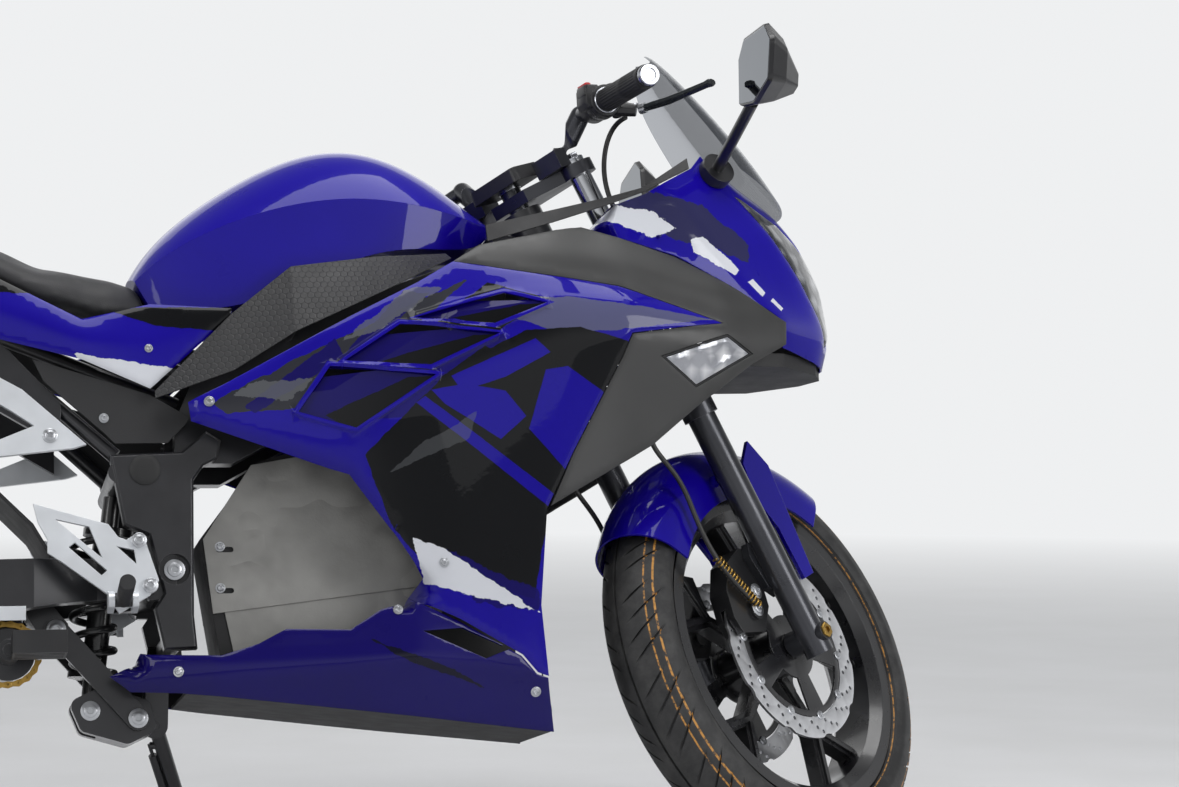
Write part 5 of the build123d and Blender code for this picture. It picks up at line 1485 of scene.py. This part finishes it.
@dataclass
class Grips:
    """Ribbed rubber grips with a bright inner collar and end cap."""

    radius: float = 16.3
    ribs: int = 26

    def sleeve(self) -> Mesh:
        """Rubber sleeve with ribs along it, between two smooth bands; a rise of -1 stands for the ribs."""
        mesh = Mesh()
        axis, side, other = square_to(GRIP_OUTER - GRIP_INNER)
        length = (GRIP_OUTER - GRIP_INNER).length
        steps = self.ribs * 4
        rings = []
        rows = [(0.05, 0.0), (0.055, 1.0), (0.10, 1.0), (0.105, 0.5), (0.12, 0.5), (0.125, -1), (0.52, -1),
                (0.53, 0.9), (0.60, 0.9), (0.61, -1), (0.93, -1), (0.935, 0.8), (0.985, 0.8), (0.99, 0.0)]
        for share, rise in rows:
            ring = []
            for step in range(steps):
                turn = math.tau * step / steps
                ridge = (0.0, 0.9, 0.9, 0.0)[step % 4] if rise < 0 else rise
                out = (side * math.cos(turn) + other * math.sin(turn)) * (self.radius - 1.0 + ridge)
                ring.append(GRIP_INNER + axis * length * share + out)
            rings.append(ring)
        mesh.rings(rings)
        return mesh

    def build(self) -> None:
        """Make the sleeves and their bright ends."""
        sleeve = self.sleeve()
        sleeve.join(self.sleeve().mirrored())
        piece = sleeve.piece("grip_sleeves", "steering", RUBBER, "grip_rubber", True)
        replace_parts(piece, "grips")
        bright = Mesh()
        axis = GRIP_OUTER - GRIP_INNER
        length = axis.length
        bright.lathe(GRIP_INNER, axis, [(0.02 * length, 17.4), (0.026 * length, 18.2), (0.045 * length, 18.2),
                                        (0.052 * length, 17.2)], 40)
        end = length * 0.99
        bright.lathe(GRIP_INNER, axis, [(end, 13.4), (end + 1, 14.6), (end + 5, 14.9), (end + 9.5, 14.6),
                                        (end + 11, 13.4), (end + 11, 9.0), (end + 9.4, 8.2), (end + 9.4, 0.5)], 40)
        bright.join(bright.mirrored())
        bright.piece("grip_collars", "steering", CHROME, "bracket_silver", True)


@dataclass
class Cockpit:
    """Bar controls, dash face and mirror glass."""

    dash_top: float = 712 + 18 + 12 + 0.3 + 20

    def dash_face(self) -> None:
        """Dark glass on the dash, inside a thin rim."""
        up, across = STANCE.leg_direction(), Vector((0, 1, 0))
        centre = STANCE.on_leg(self.dash_top) + up.cross(across).normalized() * 40.0
        outline = [(-36, -24), (36, -24), (38, -18), (38, 18), (30, 24), (-30, 24), (-38, 18), (-38, -18)]
        mesh = Mesh()
        mesh.plate(centre - up * 0.4, across, across.cross(up), outline, 1.0)
        mesh.piece("dash_face", "steering", DASH_GLASS, "control_plastic", True)

    def controls(self) -> None:
        """Switch housings, levers on their perches and the fluid pots."""
        inner, run, up = GRIP_INNER, GRIP_OUTER - GRIP_INNER, Vector((0, 0, 1))
        axis, length = run.normalized(), run.length
        lever = [BAR + Vector(place) for place in ((-2, -212, 42), (8, -262, 34), (10, -335, 23))]
        pods, perches, levers, bright = Mesh(), Mesh(), Mesh(), Mesh()
        pod = [(-0.34, 13), (-0.34, 20), (-0.32, 21.5), (-0.17, 21.5), (-0.165, 20.4), (-0.15, 20.4), (-0.145, 22.5),
               (0.02, 22.5), (0.034, 21), (0.034, 14)]
        pods.lathe(inner, axis, [(share * length, radius) for share, radius in pod], 40)
        box = [inner + run * share + Vector((-20, 0, 3)) for share in (-0.27, -0.24, -0.06, -0.03)]
        pods.blade(box, up, [(20, 28), (26, 34), (26, 34), (20, 28)], 0.6)
        pods.blade([p + Vector((-13.5, 0, 6)) for p in box[1:3]], up, [(3, 14), (3, 14)], 0.6)
        pot = BAR + Vector((-12, -186, 66))
        pods.lathe(pot - up * 22, up, [(0, 7), (22, 7)], 20)
        pods.lathe(pot, up, [(0, 13), (2, 16), (16, 16.5), (16.5, 17.4), (21, 17.4), (22, 16.4), (22, 4)], 40)
        perch = inner + run * -0.15 + Vector((14, 0, 0))
        perches.blade([perch, perch.lerp(lever[0], 0.5), lever[0]], up, [(24, 24), (22, 19), (18, 15)], 0.45)
        perches.lathe(inner, axis, [(-0.125 * length, 22.0), (-0.12 * length, 23.2), (-0.05 * length, 23.2),
                                    (-0.045 * length, 22.0)], 40)
        bright.lathe(lever[0] + up * 6.5, up, [(0, 5.5), (2.6, 5.5), (3.4, 4.6), (3.4, 2)], 20)
        bright.lathe(lever[0].lerp(lever[1], 0.12), lever[1] - lever[0], [(0, 4), (0, 7.2), (9, 7.2), (9, 4)], 20)
        path = [lever[0].lerp(lever[1], 0.1), lever[0].lerp(lever[1], 0.6), lever[1], lever[1].lerp(lever[2], 0.45),
                lever[1].lerp(lever[2], 0.9), lever[2], lever[2] + (lever[2] - lever[1]) * 0.06]
        levers.blade(path, up, [(9, 9), (14, 9), (14, 9), (12, 8.5), (12, 8), (15, 9.5), (11, 7)], 0.5)
        for mesh in (pods, perches, levers, bright):
            mesh.join(mesh.mirrored())
        red = Mesh()
        red.blade([p + Vector((-5, 0, 18.5)) for p in box[1:3]], up, [(9, 5), (9, 5)], 0.5)
        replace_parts(pods.piece("switch_housings", "steering", SWITCH, "control_plastic", True, bevel=0.6), "controls")
        perches.piece("lever_perches", "steering", CALIPER, "caliper_black", True, bevel=0.6)
        levers.piece("hand_levers", "steering", LEVER, "control_plastic", True, bevel=0.5)
        bright.piece("lever_pivots", "steering", ZINC, "bracket_silver", True)
        red.piece("stop_switch", "steering", RED, "lens_red", True, bevel=0.5)

    def mirror_glass(self) -> None:
        """Glass in the back of each mirror case."""
        rim = [(-266, 1003), (-273, 1062), (-301, 1080), (-394, 1070), (-415, 1045), (-398, 999), (-331, 988)]
        mesh = Mesh()
        mesh.slab([Vector((587.6, y, z)) for y, z in rim], Vector((1.4, 0, 0)))
        mesh.join(mesh.mirrored())
        mesh.piece("mirror_glass", "chassis", MIRROR_GLASS, "mirror_case")

    def build(self) -> None:
        """Make the cockpit's small pieces."""
        self.dash_face()
        self.controls()
        self.mirror_glass()


@dataclass
class Chain:
    """Roller chain of paired side plates round both sprockets."""

    links: int = 74
    pitch_radius: float = 38.5
    crank: Spot = (-361.0, 302.0)
    axle: Spot = REAR_AXLE[::2]
    y: float = -82.0
    wall: float = 0.85
    plate_radius: float = 4.3
    waist: float = 3.0
    reaches: Spot = (2.1, 3.0)
    roller: Spot = (4.0, 3.4)
    pin: Spot = (6.0, 1.6)

    def spot(self, along: float) -> Vector:
        """Point of the chain's middle line at a distance along its loop."""
        run = math.hypot(self.crank[0] - self.axle[0], self.crank[1] - self.axle[1])
        drop = math.atan2(self.crank[1] - self.axle[1], self.crank[0] - self.axle[0])
        arc = math.pi * self.pitch_radius
        along = along % (2 * run + 2 * arc)
        if along < run:
            x, z = along, self.pitch_radius
        elif along < run + arc:
            turn = (along - run) / self.pitch_radius
            x, z = run + self.pitch_radius * math.sin(turn), self.pitch_radius * math.cos(turn)
        elif along < 2 * run + arc:
            x, z = 2 * run + arc - along, -self.pitch_radius
        else:
            turn = (along - 2 * run - arc) / self.pitch_radius
            x, z = -self.pitch_radius * math.sin(turn), -self.pitch_radius * math.cos(turn)
        return Vector((self.axle[0] + x * math.cos(drop) - z * math.sin(drop), self.y,
                       self.axle[1] + x * math.sin(drop) + z * math.cos(drop)))

    def plate(self, mesh: Mesh, start: Vector, end: Vector, y: float) -> None:
        """One waisted side plate between two pins."""
        along = (end - start).normalized()
        up = Vector((-along.z, 0, along.x))
        length = (end - start).length
        outline = []
        for pin, first, waist in ((0, 90, -self.waist), (length, -90, self.waist)):
            for step in range(9):
                turn = math.radians(first + 180 * step / 8)
                outline.append((pin + self.plate_radius * math.cos(turn), self.plate_radius * math.sin(turn)))
            outline.append((length / 2, waist))
        mesh.slab([start + along * a + up * b + Vector((0, y, 0)) for a, b in outline], Vector((0, self.wall, 0)))

    def build(self) -> bpy.types.Object:
        """Make the chain and let it stand for the plain loop.

        Returns:
            The chain.
        """
        run = math.hypot(self.crank[0] - self.axle[0], self.crank[1] - self.axle[1])
        pitch = (2 * run + math.tau * self.pitch_radius) / self.links
        mesh = Mesh()
        for link in range(self.links):
            start, end = self.spot(link * pitch), self.spot((link + 1) * pitch)
            reach = self.reaches[link % 2]
            for face in (-reach, reach - self.wall):
                self.plate(mesh, start, end, face)
            for (long, radius), steps in ((self.roller, 12), (self.pin, 8)):
                mesh.lathe(start + Vector((0, -long / 2, 0)), Vector((0, 1, 0)), [(0, radius), (long, radius)], steps)
        piece = mesh.piece("chain_links", "chassis", BRASS, "chain_brass")
        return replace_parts(piece, "chain")


def inset(outline: Sequence[Spot], gap: float) -> list[Spot]:
    """A closed outline drawn in by a gap."""
    spots = np.array(outline, float)
    turn = np.sum(spots[:, 0] * np.roll(spots[:, 1], -1) - np.roll(spots[:, 0], -1) * spots[:, 1])
    runs = np.roll(spots, -1, axis=0) - spots
    runs /= np.linalg.norm(runs, axis=1)[:, None]
    sides = np.stack([-runs[:, 1], runs[:, 0]], axis=1) * np.sign(turn)
    before = np.roll(sides, 1, axis=0)
    middle = (sides + before) / (1 + np.sum(sides * before, axis=1))[:, None].clip(0.35)
    return [tuple(map(float, spot)) for spot in spots + middle * gap]


VENTS = (
    ((0, 596), (73, 574), (176, 642), (41, 655)), ((60, 662), (170, 655), (261, 697), (132, 710)),
    ((150, 718), (255, 710), (325, 739), (270, 753)),
)


@dataclass
class Decoration:
    """Paint and decals of the panels: blue, black and grey fields with torn white patches."""

    def livery(self, name: str, base: Colour, rows: Sequence[tuple]) -> Livery:
        """Gloss paint with decals under its clear coat.

        Args:
            name: Name of the paint.
            base: Its colour.
            rows: Values of each decal, the lowest first.

        Returns:
            The paint.
        """
        return Livery(name, base, rough=0.3, coat=0.85, coat_rough=0.02, coat_ior=1.34, size=0.006, depth=0.00001,
                      mottle=0.07, patch=0.15, rough_spread=0.04, round_edge=0.0, specular=0.05,
                      decals=tuple(Decal(*row) for row in rows))

    def fairing(self) -> Livery:
        """Side fairing: a black lower field, blue bars across it and torn pale patches."""
        rows = (
            (SOOT, ((-112, 612), (-66, 634), (176, 778), (222, 770), (40, 600), (-90, 596)), 0.006, 0.03, 1.0, 3.0),
            (DEEP_BLUE, ((-70, 604), (-54, 596), (60, 668), (48, 690)), 0.006, 0.02, 0.9, 11.0),
            (SMOKE, ((-84, 618), (-60, 634), (20, 640), (-10, 612)), 0.010, 0.02, 0.7, 12.0),
            (DEEP_BLUE, ((30, 640), (52, 640), (170, 752), (140, 756)), 0.006, 0.02, 0.9, 13.0),
            (SMOKE, ((60, 690), (100, 700), (190, 760), (150, 762)), 0.010, 0.02, 0.7, 14.0),
            (INK, ((40, 600), (100, 600), (330, 745), (250, 768)), 0.004, 0.03, 1.0, 15.0),
            (HAZE, ((262, 722), (290, 745), (350, 749), (560, 727), (441, 706), (348, 697)), 0.005, 0.03, 0.75, 1.5),
            (DEEP_BLUE, ((-60, 572), (66, 524), (130, 560), (280, 672), (262, 700), (40, 580)), 0.002, 0.03, 0.8,
             16.0),
            (INK, ((84, 541), (124, 446), (262, 670), (241, 681), (186, 640)), 0.004, 0.03),
            (INK, ((124, 446), (172, 392), (309, 356), (324, 450), (300, 700), (220, 665)), 0.004, 0.03),
            (INK, ((150, 450), (323, 440), (441, 688), (369, 706), (295, 701), (220, 660)), 0.003, 0.03),
            (BLUE, ((196, 640), (308, 690), (338, 664), (268, 640), (216, 612)), 0.0008, 0.02, 1.0, 4.0),
            (BLUE, ((170, 622), (188, 604), (262, 560), (296, 590), (268, 622), (214, 630)), 0.0008, 0.02, 1.0, 17.0),
            (BLUE, ((300, 574), (322, 650), (352, 655), (404, 622), (364, 508)), 0.0008, 0.02, 1.0, 5.0),
            (INK, ((166, 606), (172, 614), (346, 494), (340, 486)), 0.0008, 0.02, 1.0, 6.0),
            (BLUE, ((150, 606), (162, 614), (344, 484), (336, 468)), 0.0008, 0.02, 1.0, 20.0),
            (SMOKE, ((120, 520), (150, 548), (230, 596), (222, 560)), 0.008, 0.05, 0.35, 19.0),
            (DEEP_BLUE, ((150, 437), (190, 420), (312, 410), (314, 340), (230, 352)), 0.012, 0.02, 0.9, 8.0),
            (CHALK, ((146, 437), (187, 420), (312, 341), (218, 362), (165, 378)), 0.006, 0.012, 1.0, 9.0),
            *((BLUE, tuple(inset(vent, -6.5))) for vent in VENTS),
        )
        return self.livery("fairing_livery", BLUE, rows)

    def vanes(self) -> Livery:
        """Scoops behind the side openings: deep blue at the rear and above, black where they open."""
        rows = []
        for place, ((rear_x, rear_z), (low_x, low_z), (front_x, front_z), _) in enumerate(VENTS):
            corners = ((rear_x + 34, rear_z - 4), (low_x + 2, low_z - 6), (front_x + 6, front_z),
                       (front_x - 34, front_z - 2))
            rows.append((INK, corners, 0.002, 0.02, 1.0, float(place)))
        return self.livery("scoop_livery", DEEP_BLUE, rows)

    def nose(self) -> Livery:
        """Nose: blue with grey haze and torn white patches."""
        rows = (
            (SOOT, ((430, 885), (480, 915), (570, 900), (640, 850), (636, 822), (520, 848)), 0.012, 0.03, 0.8, 1.0),
            (CHALK, ((414, 876), (440, 894), (493, 884), (527, 862), (491, 848)), 0.009, 0.014, 1.0, 2.0),
            (CHALK, ((547, 846), (564, 852), (618, 808), (607, 800), (549, 829)), 0.006, 0.012, 1.0, 3.0),
            (CHALK, ((628, 792), (638, 798), (656, 780), (649, 772)), 0.002, 0.01, 1.0, 4.0),
            (CHALK, ((662, 768), (668, 773), (683, 760), (678, 755)), 0.0015, 0.01, 1.0, 5.0),
        )
        return self.livery("nose_livery", BLUE, rows)

    def tail(self) -> Livery:
        """Tail: black field with blue splashes and torn white patches along the lower edge."""
        rows = (
            (INK, ((-77, 746), (-98, 706), (-250, 700), (-620, 850), (-620, 880), (-374, 800), (-183, 752)),
             0.008, 0.03),
            (INK, ((-77, 746), (-77, 700), (-187, 722), (-374, 739), (-385, 788), (-250, 745)), 0.004, 0.03),
            (BLUE, ((-380, 735), (-480, 770), (-560, 810), (-440, 790)), 0.01, 0.03, 1.0, 2.0),
            (CHALK, ((-281, 682), (-149, 664), (-183, 630), (-263, 663)), 0.005, 0.016, 1.0, 3.0),
            (CHALK, ((-480, 790), (-560, 818), (-640, 845), (-560, 806)), 0.006, 0.02, 1.0, 4.0),
        )
        return self.livery("tail_livery", BLUE, rows)

    def belly(self) -> Livery:
        """Belly panel: deep blue with a few dark torn strokes."""
        rows = (
            (INK, ((95, 305), (210, 262), (250, 240), (130, 282)), 0.006, 0.02, 0.9, 1.0),
        )
        return self.livery("belly_livery", DEEP_BLUE, rows)


@dataclass
class Coachwork:
    """The painted panels, cut from evened surfaces in place of the frame's ruled ones."""

    surfaces: Surfaces
    decoration: Decoration = field(default_factory=Decoration)

    fairing: tuple[Spot, ...] = (
        (-139, 613), (-90, 637), (73, 725), (158, 769), (207, 799), (429, 769), (575, 723), (441, 700), (428, 670),
        (361, 545), (326, 473), (319, 349), (330, 257), (314, 262), (293, 285), (210, 330), (150, 358), (162, 385),
        (143, 414), (117, 451), (66, 517), (40, 525), (-135, 588))
    grey: tuple[Spot, ...] = (
        (206, 798), (245, 825), (354, 852), (390, 858), (521, 821), (605, 779), (669, 743), (681, 737), (678, 704),
        (622, 672), (540, 612), (476, 559), (330, 475), (361, 545), (428, 670), (441, 700), (575, 723), (429, 769))
    signal: tuple[Spot, ...] = ((489, 672), (580, 704), (616, 685), (536, 639))
    belly: tuple[Spot, ...] = (
        (-236, 270), (-202, 286), (-198, 297), (-97, 291), (-50, 305), (-15, 323), (66, 320), (105, 345), (149, 357),
        (209, 329), (292, 284), (313, 261), (329, 256), (340, 186), (-149, 245), (-209, 249))
    belly_vent: tuple[Spot, ...] = ((160, 316), (213, 320), (276, 293), (243, 280))
    nose: tuple[Spot, ...] = (
        (360, 862), (390, 859), (522, 822), (606, 780), (669.5, 744), (682, 738), (679, 704), (772, 690), (800, 690),
        (800, 800), (716, 914.5), (690, 927), (580, 981), (560, 957), (484, 910), (424, 886))
    lamp: tuple[Spot, ...] = ((92, 925), (60, 790), (30, 722), (4, 735), (4, 845), (30, 900))
    joint: float = 0.5

    def side(self) -> None:
        """Fairings, grey cowls and the indicators set in them."""
        flank = Flank(self.surfaces, ("side_fairings", "cowl_sides"), (-170, 235), (710, 885), blur=11.0, skips=VENTS)
        edge = Ridge(self.fairing, 0.0, 6.0, -1.5, True)
        lips = [Ridge(vent, 4.5, 3.5, 3.6, True) for vent in VENTS]
        fold = Ridge([(-139, 613), (-135, 588), (40, 525), (66, 517), (117, 451)], 1.0, 13.0, -5.0)
        Panel("fairing_skins", ("side_fairings",), flank, flank.spots(inset(self.fairing, self.joint)),
              self.decoration.fairing(), "body_blue", [flank.spots(vent) for vent in VENTS], [edge, fold, *lips],
              TRIM).build()
        bead = Ridge([(190, 806), (206, 812), (245, 838), (354, 866)], 4.0, 6.0, 2.0)
        frame = Ridge(self.grey, 0.0, 5.0, -1.5, True)
        Panel("grey_cowls", ("cowl_sides",), flank, flank.spots(inset(self.grey, self.joint)), PANEL_GREY,
              "panel_grey", [flank.spots(inset(self.signal, -3.0))], [frame, bead], TRIM).build()
        Panel("indicator_rims", (), flank, flank.spots(inset(self.signal, -2.6)), TRIM, "trim_black",
              [flank.spots(self.signal)], [], TRIM, wall=6.0, sink=1.5).build()
        Panel("indicator_lenses", ("front_signals",), flank, flank.spots(inset(self.signal, 0.6)), LENS, "lens_clear",
              [], [Ridge(self.signal, 0.0, 6.0, -1.6, True)], TRIM, wall=6.0, sink=0.0, step=6.0).build()

    def low(self) -> None:
        """Belly panels, with the crease that runs along them."""
        flank = Flank(self.surfaces, ("belly_panels",), (-250, 170), (360, 375), step=4.0, blur=6.0)
        crease = Ridge([(-300, 286), (-90, 281), (86, 284), (215, 275), (300, 262), (400, 244)], 0.0, 16.0, 1.6)
        frame = Ridge(self.belly, 0.0, 5.0, -1.5, True)
        Panel("belly_skins", ("belly_panels",), flank, flank.spots(inset(self.belly, self.joint)),
              self.decoration.belly(), "body_blue", [flank.spots(self.belly_vent)], [frame, crease], TRIM,
              step=7.0).build()

    def front(self) -> None:
        """Nose, and the lamp glasses set in its front."""
        wrap = Wrap(self.surfaces, ("nose_cowl", "headlights"), (-430, 672), (430, 1000), blur=10.0)
        half = wrap.spots(inset(self.nose, self.joint))
        ahead = [place for place, spot in enumerate(half) if spot[0] > 1.0]
        turn = max(k for k in range(len(ahead)) if ahead[k] != ahead[k - 1] + 1)
        chain = [half[k] for k in (*ahead[turn:], *ahead[:turn])]
        outline = [*chain, *((-u, v) for u, v in reversed(chain))]
        lamps = [wrap.front_spots(self.lamp)]
        lamps.append([(-u, v) for u, v in lamps[0]])
        Panel("nose_skin", ("nose_cowl",), wrap, outline, self.decoration.nose(), "body_blue", lamps,
              [Ridge(lamp, 0.0, 7.0, -1.5, True) for lamp in lamps], TRIM, mirrored=False).build()
        Panel("lamp_glasses", ("headlights",), wrap, wrap.front_spots(inset(self.lamp, 0.8)), LAMP, "lens_clear",
              [], [Ridge(lamps[0], 0.0, 6.0, -1.5, True)], TRIM, wall=5.0).build()

    def rear(self) -> None:
        """Tail panels."""
        outline = ((-77, 735), (-183, 637), (-270, 674), (-385, 703), (-600, 769), (-869, 857), (-869, 907),
                   (-600, 871), (-385, 787), (-270, 729), (-183, 751), (-77, 745))
        flank = Flank(self.surfaces, ("side_covers",), (-890, 620), (-60, 925), blur=9.0)
        Panel("tail_skins", ("side_covers",), flank, flank.spots(inset(outline, 0.3)), self.decoration.tail(),
              "body_blue", [], [Ridge(outline, 0.0, 5.0, -1.5, True)], TRIM).build()

    def build(self) -> None:
        """Make every painted panel."""
        self.side()
        self.low()
        self.front()
        self.rear()


@dataclass
class Bodywork:
    """Finishes of the frame's own pieces, by name."""

    nodes: dict[str, bpy.types.Object]
    decoration: Decoration = field(default_factory=Decoration)

    def finishes(self) -> dict[str, Finish]:
        """Finish of each piece that shows."""
        paint = self.decoration
        rows = (
            (BATTERY, "battery_box"), (SHEET, "battery_covers"), (HOSE, "brake_hoses"), (BRASS, "chain"),
            (SWITCH, "controls dash"), (PANEL_GREY, "cowl_sides"), (FORK, "fork_sliders handlebar triple_clamps"),
            (FORK_TUBE, "fork_tubes"), (CALIPER, "front_calipers rear_caliper"), (DISC, "front_discs rear_disc"),
            (PAINT, "front_fender tail_cap tank"), (RIM, "front_rim rear_rim"), (LENS, "front_signals"),
            (RUBBER, "front_tyre rear_tyre grips"), (LAMP, "headlights"), (KNEE, "knee_pads"),
            (FRAME, "crankset fairing_stay main_frame shock_linkage side_stand subframe swingarm"),
            (TRIM, "belly_tray inner_trim nose_chin rear_fender splash_guard under_covers"),
            (MIRROR_CASE, "mirrors"), (PEDAL, "pedal_left pedal_right peg_left peg_right"),
            (BRACKET, "peg_brackets pillion_brackets"), (COVER, "pillion_seat seat"), (SPRING, "rear_shock"),
            (AMBER, "rear_signals"), (RED_LENS, "tail_lamp"), (SCREEN, "windscreen"),
            (paint.belly(), "belly_panels"), (paint.nose(), "nose_cowl"), (paint.tail(), "side_covers"),
            (paint.fairing(), "side_fairings"), (paint.vanes(), "vent_vanes"),
        )
        return {name: finish for finish, names in rows for name in names.split()}

    def dress(self) -> None:
        """Give every piece of the frame its finish."""
        finishes = self.finishes()
        for name, piece in self.nodes.items():
            material = finishes[name].build()
            piece.data.materials.clear()
            piece.data.materials.append(material)
            log.info("finished %s", name)


@dataclass
class Studio:
    """Pale floor, soft lamps and the photograph's camera."""

    camera_place: Point = (-0.39271, -3.83623, 0.6432)
    camera_turn: float = -13.168
    lens: float = 85.0
    sensor: float = 36.0
    pale: Colour = (0.86, 0.87, 0.88)
    floor_radius: float = 40
    floor_sides: int = 96

    def camera(self) -> None:
        """Camera at the photograph's place and angle."""
        data = bpy.data.cameras.new("camera")
        data.lens = self.lens
        data.sensor_width = self.sensor
        data.clip_end = 200.0
        camera = bpy.data.objects.new("camera", data)
        camera.location = self.camera_place
        camera.rotation_euler = (math.radians(90), 0, math.radians(self.camera_turn))
        bpy.context.scene.collection.objects.link(camera)
        bpy.context.scene.camera = camera

    def floor(self) -> None:
        """Round pale floor that fades into the background."""
        data = bpy.data.meshes.new("floor")
        turns = [math.tau * step / self.floor_sides for step in range(self.floor_sides)]
        rim = [(self.floor_radius * math.cos(turn), self.floor_radius * math.sin(turn), 0) for turn in turns]
        data.from_pydata(rim, [], [tuple(range(self.floor_sides))])
        floor = bpy.data.objects.new("floor", data)
        bpy.context.scene.collection.objects.link(floor)
        graph = Graph(bpy.data.materials.new("floor"))
        patchy = graph.mix(graph.spread(graph.noise(0.4), 0.0, 1.0), (0.60, 0.60, 0.60), (0.64, 0.64, 0.645))
        graph.put(graph.shader, {"Base Color": patchy, "Roughness": 0.8})
        far = graph.spread(graph.vectors("LENGTH", graph.place), 0.0, 1.0, 2.0, 9.0)
        seen = graph.math("MULTIPLY", far, graph.add("LightPath").outputs["Is Camera Ray"])
        glow = graph.add("Emission", {"Color": self.pale})
        surface = graph.blend(seen, graph.shader.outputs[0], glow.outputs[0])
        graph.put(graph.tree.nodes["Material Output"], {"Surface": surface})
        data.materials.append(graph.owner)

    def world(self) -> None:
        """Pale surroundings to the eye, and a soft sky that darkens downwards for light and gloss."""
        world = bpy.data.worlds.new("surroundings")
        bpy.context.scene.world = world
        graph = Graph(world)
        height = graph.add("SeparateXYZ", {0: graph.coordinates["Generated"]}).outputs["Z"]
        rays = graph.add("LightPath").outputs
        light = graph.spread(height, 0.10, 0.62, -0.1, 0.7)
        sky = graph.add("Background", {"Color": (0.95, 0.97, 1.0), "Strength": light})
        dim = graph.spread(height, 1.0, 0.28, 0.10, 0.5, interpolation_type="SMOOTHSTEP")
        mirrored = graph.add("Background", {"Color": self.pale, "Strength": dim})
        back = graph.tree.nodes["Background"]
        graph.put(back, {"Color": self.pale})
        either = graph.math("MAXIMUM", rays["Is Glossy Ray"], rays["Is Transmission Ray"])
        shine = graph.blend(either, sky.outputs[0], mirrored.outputs[0])
        surface = graph.blend(rays["Is Camera Ray"], shine, back.outputs[0])
        graph.put(graph.tree.nodes["World Output"], {"Surface": surface})

    def lamp(self, name: str, place: Point, target: Point, size: Spot, power: float) -> None:
        """Area lamp that faces a point.

        Args:
            name: Name of the lamp.
            place: Where it hangs, in metres.
            target: What it faces.
            size: Its width and height.
            power: Its power in watts.
        """
        data = bpy.data.lights.new(name, "AREA")
        data.shape = "RECTANGLE"
        data.size, data.size_y = size
        data.energy = power
        lamp = bpy.data.objects.new(name, data)
        lamp.location = place
        lamp.rotation_euler = (Vector(target) - Vector(place)).to_track_quat("-Z", "Y").to_euler()
        bpy.context.scene.collection.objects.link(lamp)

    def build(self) -> None:
        """Set the stage."""
        self.camera()
        self.floor()
        self.world()
        middle = (0.0, 0.0, 0.55)
        self.lamp("high_lamp", (0.4, -0.6, 3.4), middle, (3.2, 1.6), 62)
        self.lamp("front_lamp", (2.6, -2.6, 1.7), middle, (1.2, 2.0), 42)
        self.lamp("rear_lamp", (-2.8, -2.2, 1.9), middle, (1.2, 1.8), 24)
        self.lamp("far_lamp", (0.5, 3.0, 2.4), middle, (4.0, 1.6), 14)
        bpy.context.scene.view_settings.view_transform = "Standard"


def main() -> None:
    """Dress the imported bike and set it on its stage."""
    logging.basicConfig(level=logging.INFO, format="%(message)s")
    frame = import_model()
    Studio().build()
    surfaces = Surfaces(frame["nodes"])
    Bodywork(frame["nodes"]).dress()
    Tyre("front_tread", "front_tyre", "front_wheel", STANCE.axle, 293.0, 55.0, 40.0, True).build()
    Tyre("rear_tread", "rear_tyre", "rear_wheel", REAR_AXLE, 305.0, 65.0, 47.0, False).build()
    Coachwork(surfaces).build()
    Disc("front_discs", "front_discs", "front_wheel", STANCE.axle[::2], (-52.3, 52.3), 133.0, True).build()
    Disc("rear_disc", "rear_disc", "rear_wheel", REAR_AXLE[::2], (78.3,), 110.0, False).build()
    Chain().build()
    Grips().build()
    Cockpit().build()
    Screws(surfaces).build()
    Seat("rider_seat", "seat", ((-160, 62, 748, 782), (-240, 105, 738, 802), (-320, 128, 755, 812),
                                (-400, 125, 790, 845)), ((-210, 812), (-169, 738))).build()
    Seat("passenger_seat", "pillion_seat",
         ((-425, 105, 845, 872), (-560, 112, 872, 905), (-715, 70, 888, 915))).build()


if __name__ == "__main__":
    main()
